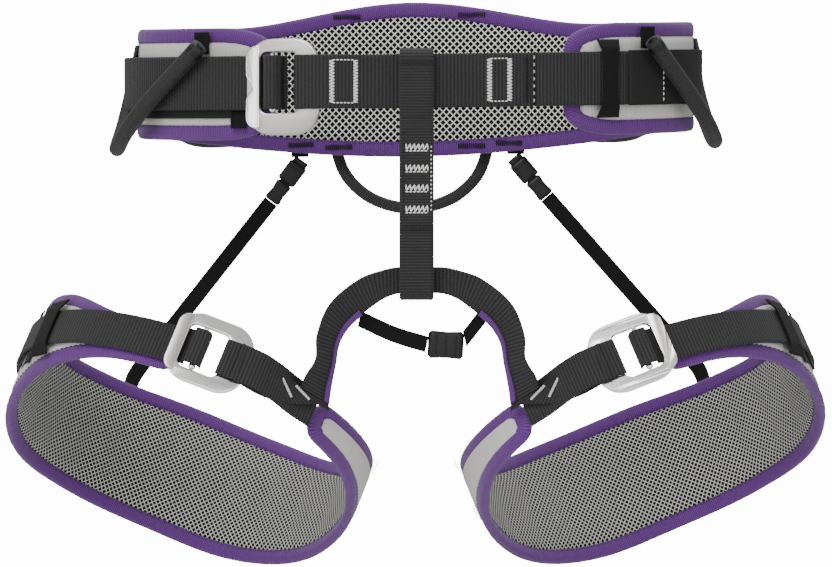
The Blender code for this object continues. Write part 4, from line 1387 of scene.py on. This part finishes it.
# %% Belay loop
BELAY_X, HINGE_Y, HINGE_Z = -0.0019, -0.0945, -0.0946
BELAY_HALF, BELAY_WEB, BELAY_BIGHT = 0.0081, 0.0024, 0.0068
TOP_Z, TOP_RADIUS = 0.0114, 0.0035 + BELAY_WEB / 2
LOW_RADIUS = BELAY_BIGHT + BELAY_WEB / 2
X, FORWARD = Vector((1, 0, 0)), Vector((0, -1, 0))


def strand_y(z, side):
    """y of the loop's front strand (side -1) or back strand (side 1) at a height."""
    t = ease((TOP_Z - z) / (TOP_Z - HINGE_Z))
    return HINGE_Y + side * (TOP_RADIUS + (LOW_RADIUS - TOP_RADIUS) * t)


line = []
for start, end, radius, side in ((TOP_Z, HINGE_Z, TOP_RADIUS, 1),
                                 (HINGE_Z, TOP_Z, LOW_RADIUS, -1)):
    for i in range(24):
        a = math.pi * i / 24
        line.append(Vector((BELAY_X, HINGE_Y - side * radius * math.cos(a),
                            start + side * radius * math.sin(a))))
    for i in range(30):
        z = start + (end - start) * i / 30
        line.append(Vector((BELAY_X, strand_y(z, side), z)))
count = len(line)
rings, cloth, s = [], [], 0.0
outline = tape_outline(BELAY_HALF, BELAY_WEB * 0.9, 8)
for i, point in enumerate(line):
    ahead = (line[(i + 1) % count] - line[i - 1]).normalized()
    out = ahead.cross(X)
    out = out if out.dot(point - Vector((BELAY_X, HINGE_Y, -0.04))) > 0 else -out
    rings.append([point + x * X + y * out for x, y in outline])
    cloth.append([(s, x, y) for x, y in outline])
    s += (line[(i + 1) % count] - point).length
belay = loft("belay_loop_ring", rings, "loop_webbing", cloth, closed=True)
belongs(belay, "belay", "webbing", "belay_loop")

OVERLAP_TOP, OVERLAP_END = -0.0170, -0.0702
layer = []
for i in range(40):
    z = OVERLAP_TOP + (OVERLAP_END - OVERLAP_TOP) * i / 39
    lift = BELAY_WEB * (0.86 - 0.5 * (1 - ease(i / 3)) - 0.55 * ease((i - 36) / 3))
    y = strand_y(z, -1) - lift
    layer.append((Vector((BELAY_X, y, z)), X, FORWARD, BELAY_HALF * 0.985))
overlap = webbing("belay_loop_overlap", layer, BELAY_HALF, BELAY_WEB * 0.85, "loop_webbing")
belongs(overlap, "belay", "webbing")


def on_overlap(x, z, lift=1.30):
    """A point on the front of the overlap, this many webbings out from the strand's middle."""
    return Vector((BELAY_X + x, strand_y(z, -1) - BELAY_WEB * lift, z))


def front_seam(row, length, gap):
    return seam(row, [FORWARD] * len(row), length, gap)


found = []
for z in (-0.0305, -0.0405, -0.0500, -0.0600):
    middle = on_overlap(0.0, z)
    found += bar_tack(middle, X, UP + 0.25 * X, FORWARD, 0.0112, 0.0033, 0.0010, 1.1)
    found += front_seam([middle + x * X - 0.0019 * UP for x in (-0.0058, 0.0, 0.0056)],
                        0.0016, 0.0002)
found += front_seam([on_overlap(0.0068, z) for z in np.linspace(-0.029, -0.062, 12)],
                    0.0010, 0.0010)
sew("belay_loop_tacks", found, 0.00036, "pale_thread", "belay", "webbing")
found = front_seam([on_overlap(-0.0064, z) for z in np.linspace(-0.022, -0.066, 24)],
                   0.0019, 0.0010)
found += front_seam([on_overlap(x, -0.0682, 1.2) for x in np.linspace(-0.0066, 0.0066, 8)],
                    0.0016, 0.0006)
sew("belay_loop_seams", found, 0.00026, "dark_thread", "belay", "webbing")
print("belay loop is", round(s * 1000), "mm round")

# %% [markdown]
# ## Leg loop webbing
# Each leg loop closes in front with 19 mm webbing and a smaller buckle of the same kind. The
# outer strap comes round the thigh, over the sliding bar and back under itself. The inner strap
# goes over the fixed bar and down to the pad's inner corner, where the bridge begins.

# %% Leg straps
LEG_WEB, LEG_WEB_HALF, LEG_STRAP_RISE = 0.0018, 0.0093, 0.0015
LEG_BUCKLE_AT, LEG_PER_DEGREE, LEG_BUCKLE_CURVE = -174.4, 0.00153, 0.084
LEG_FIRST = 0.0037
LEG_BUCKLE_OFF = LEG_FIRST + LEG_WEB / 2 + 0.0020 + 0.0013
LEG_OVER_BAR = BAR + GAP + LEG_WEB / 2


def at_leg_buckle(along, above):
    return (LEG_BUCKLE_AT - along / LEG_PER_DEGREE,
            LEG_BUCKLE_OFF + above + along**2 / (2 * LEG_BUCKLE_CURVE))


ARCH = [(-0.0140, -0.0034), (-0.0092, -0.0014), (-0.0089, LEG_OVER_BAR - 0.0012),
        (-0.0075, LEG_OVER_BAR + 0.0002), (-0.0055, LEG_OVER_BAR + 0.0004),
        (-0.0035, LEG_OVER_BAR + 0.0002), (-0.0021, LEG_OVER_BAR - 0.0012), (-0.0017, -0.0030)]
INNER = [(0.0050, LEG_OVER_BAR - 0.0028), (0.0055, LEG_OVER_BAR - 0.0004),
         (0.0080, LEG_OVER_BAR), (0.0205, LEG_OVER_BAR), (0.0280, LEG_OVER_BAR - 0.0045)]
outer = webbing("leg_web_left",
                surface_line(leg, [(-62, LEG_FIRST), (-110, LEG_FIRST), (-163, LEG_FIRST)]
                             + [at_leg_buckle(*s) for s in ARCH], LEG_STRAP_RISE),
                LEG_WEB_HALF, LEG_WEB * 0.92, "webbing")
inner_line = surface_line(leg, [at_leg_buckle(*s) for s in INNER]
                          + [(-203, LEG_FIRST + 0.0006), (-211, LEG_FIRST)], LEG_STRAP_RISE)
inner = webbing("leg_adjuster_web_left", inner_line, LEG_WEB_HALF, LEG_WEB * 0.92, "webbing")
LEG_PIECES.append((inner, "leg", "webbing", ("leg_adjuster_strap",), None))
print("leg webbing runs", round(run_lengths([p[0] for p in inner_line])[-1] * 1000),
      "mm from buckle to pad")

# %% [markdown]
# An elastic keeper holds the outer strap, and two black tapes cross the shell beside it. A bar
# tack ends the strap at the side, and two rows of stitches quilt the shell round the back.

# %% Leg keeper and tapes
rises = [LEG_STRAP_RISE + r for r in (-0.0150, -0.0120, -0.0095, 0.0095, 0.0120, 0.0150)]
high = LEG_FIRST + LEG_WEB / 2 + GAP + 0.0006
offs = (high - 0.0019, high - 0.0010, high, high, high - 0.0010, high - 0.0019)
band = webbing("leg_keeper_band_left",
               keeper_line(leg, -114.5, rises, offs, 3.6), 0.0053, 0.0010, "elastic", 6)
LEG_PIECES.append((band, "leg", "elastic", ("leg_keeper",), None))
for k, degrees in enumerate((-105.5, -98.5)):
    for where, low, high in (("upper", 0.0095, 0.0162), ("lower", -0.0150, -0.0065)):
        line = keeper_line(leg, degrees, (low, high), (0.0027, 0.0027), 1.6, 10)
        tape = webbing(f"leg_tape_{k}_{where}_left", line, 0.0022, 0.0008, "panel", 6)
        LEG_PIECES.append((tape, "leg", "shell_fabric", (), None))
found = []
for degrees in (-64.0, -67.5):
    found += tack_on(leg, degrees, LEG_STRAP_RISE, LEG_FIRST + LEG_WEB / 2 + 0.0002, 0.0160,
                     0.0020)
for rise in (-0.0130, 0.0130):
    row = [(degrees, rise) for degrees in range(-54, 100, 3)]
    found += seam([leg(*spot, 0.0023) for spot in row], [out_of(leg, *spot) for spot in row])
sewn = stitches("leg_shell_stitching_left", found, 0.00030, "dark_thread")
LEG_PIECES.append((sewn, "leg", "shell_fabric", (), None))

# %% [markdown]
# ## Bridge
# The webbing that joins the leg loops climbs from each pad's inner corner, twists from facing
# the front to lying on edge, and passes through the belay loop. It is twice as thick as it
# looks, because a purple backing tape is sewn along its inner side.

# %% Bridge
corner = leg(-209, 0.0040, LEG_FIRST + LEG_WEB + GAP + 0.0004)
BRIDGE = [(corner, (0.0069, 0.0043, -0.0046)),
          ((-0.0495, -0.0880, -0.1440), (0.0060, 0.0062, -0.0034)),
          ((-0.0458, -0.0900, -0.1330), (0.0042, 0.0080, -0.0015)),
          ((-0.0445, -0.0925, -0.1222), (0.0050, 0.0074, -0.0018)),
          ((-0.0388, -0.0940, -0.1106), (0.0048, 0.0060, -0.0050)),
          ((-0.0262, -0.0945, -0.1000), (0.0030, 0.0030, -0.0068)),
          ((-0.0172, -0.0945, -0.0958), (0.0004, 0.0006, -0.0068)),
          ((-0.0105, -0.0945, -0.0941), (0, 0, -0.0064)),
          ((-0.0005, -0.0945, -0.0941), (0, 0, -0.0062))]
line = free_line(BRIDGE, 90)
bridge = webbing("bridge_web_left", line, 0.0085, LEG_WEB * 0.92, "webbing")
LEG_PIECES.append((bridge, "leg", "webbing", ("bridge_webbing",), None))
backing = []
for middle, across, out, half in line[4:56]:
    backing.append((middle + across * half * 0.78 - out * 0.0013, across, out, half * 0.2))
purple = webbing("bridge_backing_left", backing, 0.0018, 0.0012, "binding", 4)
LEG_PIECES.append((purple, "leg", "binding", (), None))
places, outs = [], []
for middle, across, out, half in line[3:60]:
    places.append(middle + across * half * 0.72 + out * LEG_WEB * 0.5)
    outs.append(out)
lower, upper = inner_line[-7], line[3]
edge_in, edge_out = lower[1] * LEG_WEB_HALF, -upper[1] * upper[3]
turned_out = upper[2] if upper[2].dot(lower[2]) > 0 else -upper[2]
first = lower[0] + edge_in + lower[2] * 0.0018
last = upper[0] + edge_out + turned_out * 0.0004
elbow = []
for t in np.linspace(0, 1, 16):
    arm = (edge_in.lerp(edge_out, t)).normalized() * LEG_WEB_HALF
    pivot = first.lerp(last, t)
    elbow.append((pivot - arm, arm.normalized(), lower[2].lerp(turned_out, t).normalized(),
                  LEG_WEB_HALF))
turned = webbing("bridge_elbow_left", elbow, LEG_WEB_HALF, LEG_WEB * 0.9, "webbing")
LEG_PIECES.append((turned, "leg", "webbing", (), None))
found = []
for middle, across, out, half in (elbow[9], elbow[12]):
    ahead = across.cross(out)
    found += bar_tack(middle + out * (LEG_WEB / 2 + 0.0002), across, ahead, out, 0.0105, 0.0014,
                      0.0007, 0.4)
tacks = stitches("leg_bar_tacks_left", found, 0.00032, "pale_thread")
LEG_PIECES.append((tacks, "leg", "webbing", (), None))
sewn = stitches("bridge_stitching_left", seam(places, outs, 0.0020, 0.0009), 0.00024,
                "dark_thread")
LEG_PIECES.append((sewn, "leg", "webbing", (), None))

# %% [markdown]
# ### Leg buckles
# The same stamping, smaller and rounder: the frame is a ring with a wide window on the sliding
# side and a thick plate at its outer end.

# %% Leg buckles
origin = leg(LEG_BUCKLE_AT, LEG_STRAP_RISE, LEG_BUCKLE_OFF)
ahead = (leg(LEG_BUCKLE_AT - 1, LEG_STRAP_RISE, LEG_BUCKLE_OFF)
         - leg(LEG_BUCKLE_AT + 1, LEG_STRAP_RISE, LEG_BUCKLE_OFF))
LEG_PLACE = placed(origin, ahead, LEG_TURN @ UP)
ring_plate = stamped([round_outline(0.0396, 0.0356, 0.0125),
                      round_outline(0.0198, 0.0224, 0.0032, -0.0031),
                      round_outline(0.0072, 0.0164, 0.0020, 0.0136)], 0.0026, 0.0008)
lip = stamped([lip_outline(-0.0196, -0.0132, 0.0300, 0.0052, 0.0)], 0.0014, 0.0006,
              lift=0.0016)
buckle = joined("leg_buckle_plate_left", [ring_plate, lip], LEG_PLACE,
                ["bright_metal", "metal"])
bar = loose_bar("leg_buckle_bar_left", LEG_PLACE, -0.0055, 0.0107, BAR)
LEG_PIECES += [(buckle, "leg_buckle", "buckle_metal", ("leg_buckle_frame",), None),
               (bar, "leg_buckle", "buckle_metal", ("leg_buckle_slider",), None)]

# %% [markdown]
# ### Both legs
# Every piece of the left leg gets its mirror image. Then each side's pieces go to their bodies
# and take the places of their CAD solids. The outer strap and its mirror image take the places
# of their CAD solids as well.

# %% Mirror the leg
for piece, body, slot, nodes, fill in list(LEG_PIECES):
    twin = mirrored(piece, piece.name.replace("_left", "_right"))
    for copy, word in ((piece, "left"), (twin, "right")):
        belongs(copy, f"{word}_{body}", slot, *(f"{node}_{word}" for node in nodes))
twin = mirrored(outer, "leg_web_right")
for piece, word, side in ((outer, "left", 1), (twin, "right", -1)):
    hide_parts(f"leg_webbing_{word}")
    start, end = leg(-163.5, 0, 0.005), leg(-169.5, 0, 0.007)
    for point in (start, end):
        point.x *= side
    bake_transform(piece)
print(2 * len(LEG_PIECES) + 2, "pieces on the two leg loops")

# %% [markdown]
# ## Risers
# An elastic riser holds the back of each leg loop up. It hangs from a small side-release clip:
# a socket on the belt, and a plug with two spring arms. Both are lofted from rounded
# cross-sections, which gives moulded plastic its soft edges.


# %% Moulded shapes
MOULD_SIDES, MOULD_POWER = 24, 0.45    # points round a section, and how square it is


def moulding(name, place, sections):
    """Rounded cross-sections along local X: each is (x, half height, half depth)."""
    rings, cloth = [], []
    for x, high, deep in sections:
        ring, marks = [], []
        for j in range(MOULD_SIDES):
            a = math.tau * j / MOULD_SIDES
            c, s = math.cos(a), math.sin(a)
            y = high * math.copysign(abs(c) ** MOULD_POWER, c)
            z = deep * math.copysign(abs(s) ** MOULD_POWER, s)
            ring.append(place @ Vector((x, y, z)))
            marks.append((x, y, z))
        rings.append(ring)
        cloth.append(marks)
    return loft(name, rings, "plastic", cloth)


def soft_ends(length, high, deep, round_off=0.0010, waist=0.0):
    """Sections of a block with rounded ends, and a waist if asked."""
    sections = []
    for i in range(13):
        t = i / 12
        x = -length / 2 + length * t
        near = min(t, 1 - t) * length
        shrink = round_off * (1 - math.sqrt(max(0.0, 1 - max(0.0, 1 - near / round_off) ** 2)))
        pinch = 1 - waist * math.sin(math.pi * t) ** 2
        sections.append((x, (high - shrink) * pinch, deep - shrink))
    return sections


# %% [markdown]
# The strap itself is 8 mm elastic. It follows the belt at its top and the leg loop at its lower
# end.

# %% Risers
for side, word in ((-1, "left"), (1, "right")):
    degrees = RISER_DEGREES[word]
    leg_degrees = -22 if side < 0 else -26
    top = belt(degrees, -0.0375, TAB_OFF)
    end, above = leg(leg_degrees, 0.0270, 0.0044), leg(leg_degrees, 0.0390, 0.0054)
    if side > 0:
        end.x, above.x = -end.x, -above.x
    run = (above - top).normalized()
    across = run.cross(Vector((0, 1, 0))).normalized()
    start = top + Vector((0, 0, -0.0040))
    at = placed(start + run * 0.0068, run, across)
    socket = moulding(f"riser_clip_socket_{word}", at, soft_ends(0.0120, 0.0050, 0.0026))
    belongs(socket, "waist", "clip_plastic", f"riser_socket_{word}")
    rib_line = [at @ Vector((-0.0030, y, 0.0026)) for y in np.linspace(-0.0036, 0.0036, 9)]
    belongs(tube(f"riser_clip_rib_{word}", rib_line, 0.0004, "plastic", 8), "waist",
            "clip_plastic")
    at = placed(start + run * 0.0190, run, across)
    plug = moulding(f"riser_clip_plug_{word}", at,
                    soft_ends(0.0118, 0.0044, 0.0023, waist=0.12))
    belongs(plug, f"{word}_riser_clip", "clip_plastic", f"riser_plug_{word}")
    for part, along, size, body in (("tongue", 0.0130, 0.0030, f"{word}_riser_clip"),
                                    ("collar", 0.0002, 0.0040, "waist")):
        at = placed(start + run * along, run, across)
        small = moulding(f"riser_clip_{part}_{word}", at, soft_ends(size, size, 0.0014, 0.0004))
        belongs(small, body, "clip_plastic")
    half = across * 0.0040
    first = start + run * 0.0251
    stations = [(first, half), (first.lerp(above, 0.33), half), (first.lerp(above, 0.75), half),
                (above, half), (end, half)]
    strap = webbing(f"riser_elastic_{word}", free_line(stations, 60), 0.0040, 0.0012, "elastic",
                    6)
    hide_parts(f"riser_strap_{word}")
    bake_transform(strap)
    print("riser", word, round((above - first).length * 1000), "mm of elastic")

# %% [markdown]
# ## Crotch elastic
# Behind the belay loop a thin elastic with a small slider ties the two leg loops together. The
# slider rides on a body of its own.

# %% Crotch elastic and slider
half = Vector((0.0009, 0, 0.0038))
ends = {"left": (Vector((-0.0290, -0.0835, -0.1125)), Vector((0.0034, -0.0765, -0.1250)), half),
        "right": (Vector((0.0305, -0.0835, -0.1110)), Vector((0.0219, -0.0765, -0.1222)),
                  Vector((-half.x, 0, half.z)))}
for word, (start, end, edge) in ends.items():
    sag = Vector((0, 0, -0.0012 if word == "left" else 0))
    line = free_line([(start, edge), (start.lerp(end, 0.5) + sag, edge), (end, edge)], 30)
    strap = webbing(f"crotch_elastic_{word}", line, half.length, 0.0011, "elastic", 4)
    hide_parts(f"linker_strap_{word}")
    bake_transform(strap)
at = placed((0.0126, -0.0765, -0.1252), (1, 0, -0.05), UP)
slider = moulding("crotch_slider_body", at, soft_ends(0.0172, 0.00675, 0.0021, 0.0014, 0.06))
belongs(slider, "crotch_slider", "clip_plastic", "linker_slider")
for k, x in enumerate((-0.0046, 0.0, 0.0046)):
    ridge = [at @ Vector((x, y, 0.0020)) for y in np.linspace(-0.0045, 0.0045, 9)]
    belongs(tube(f"crotch_slider_ridge_{k}", ridge, 0.0005, "plastic", 8), "crotch_slider",
            "clip_plastic")
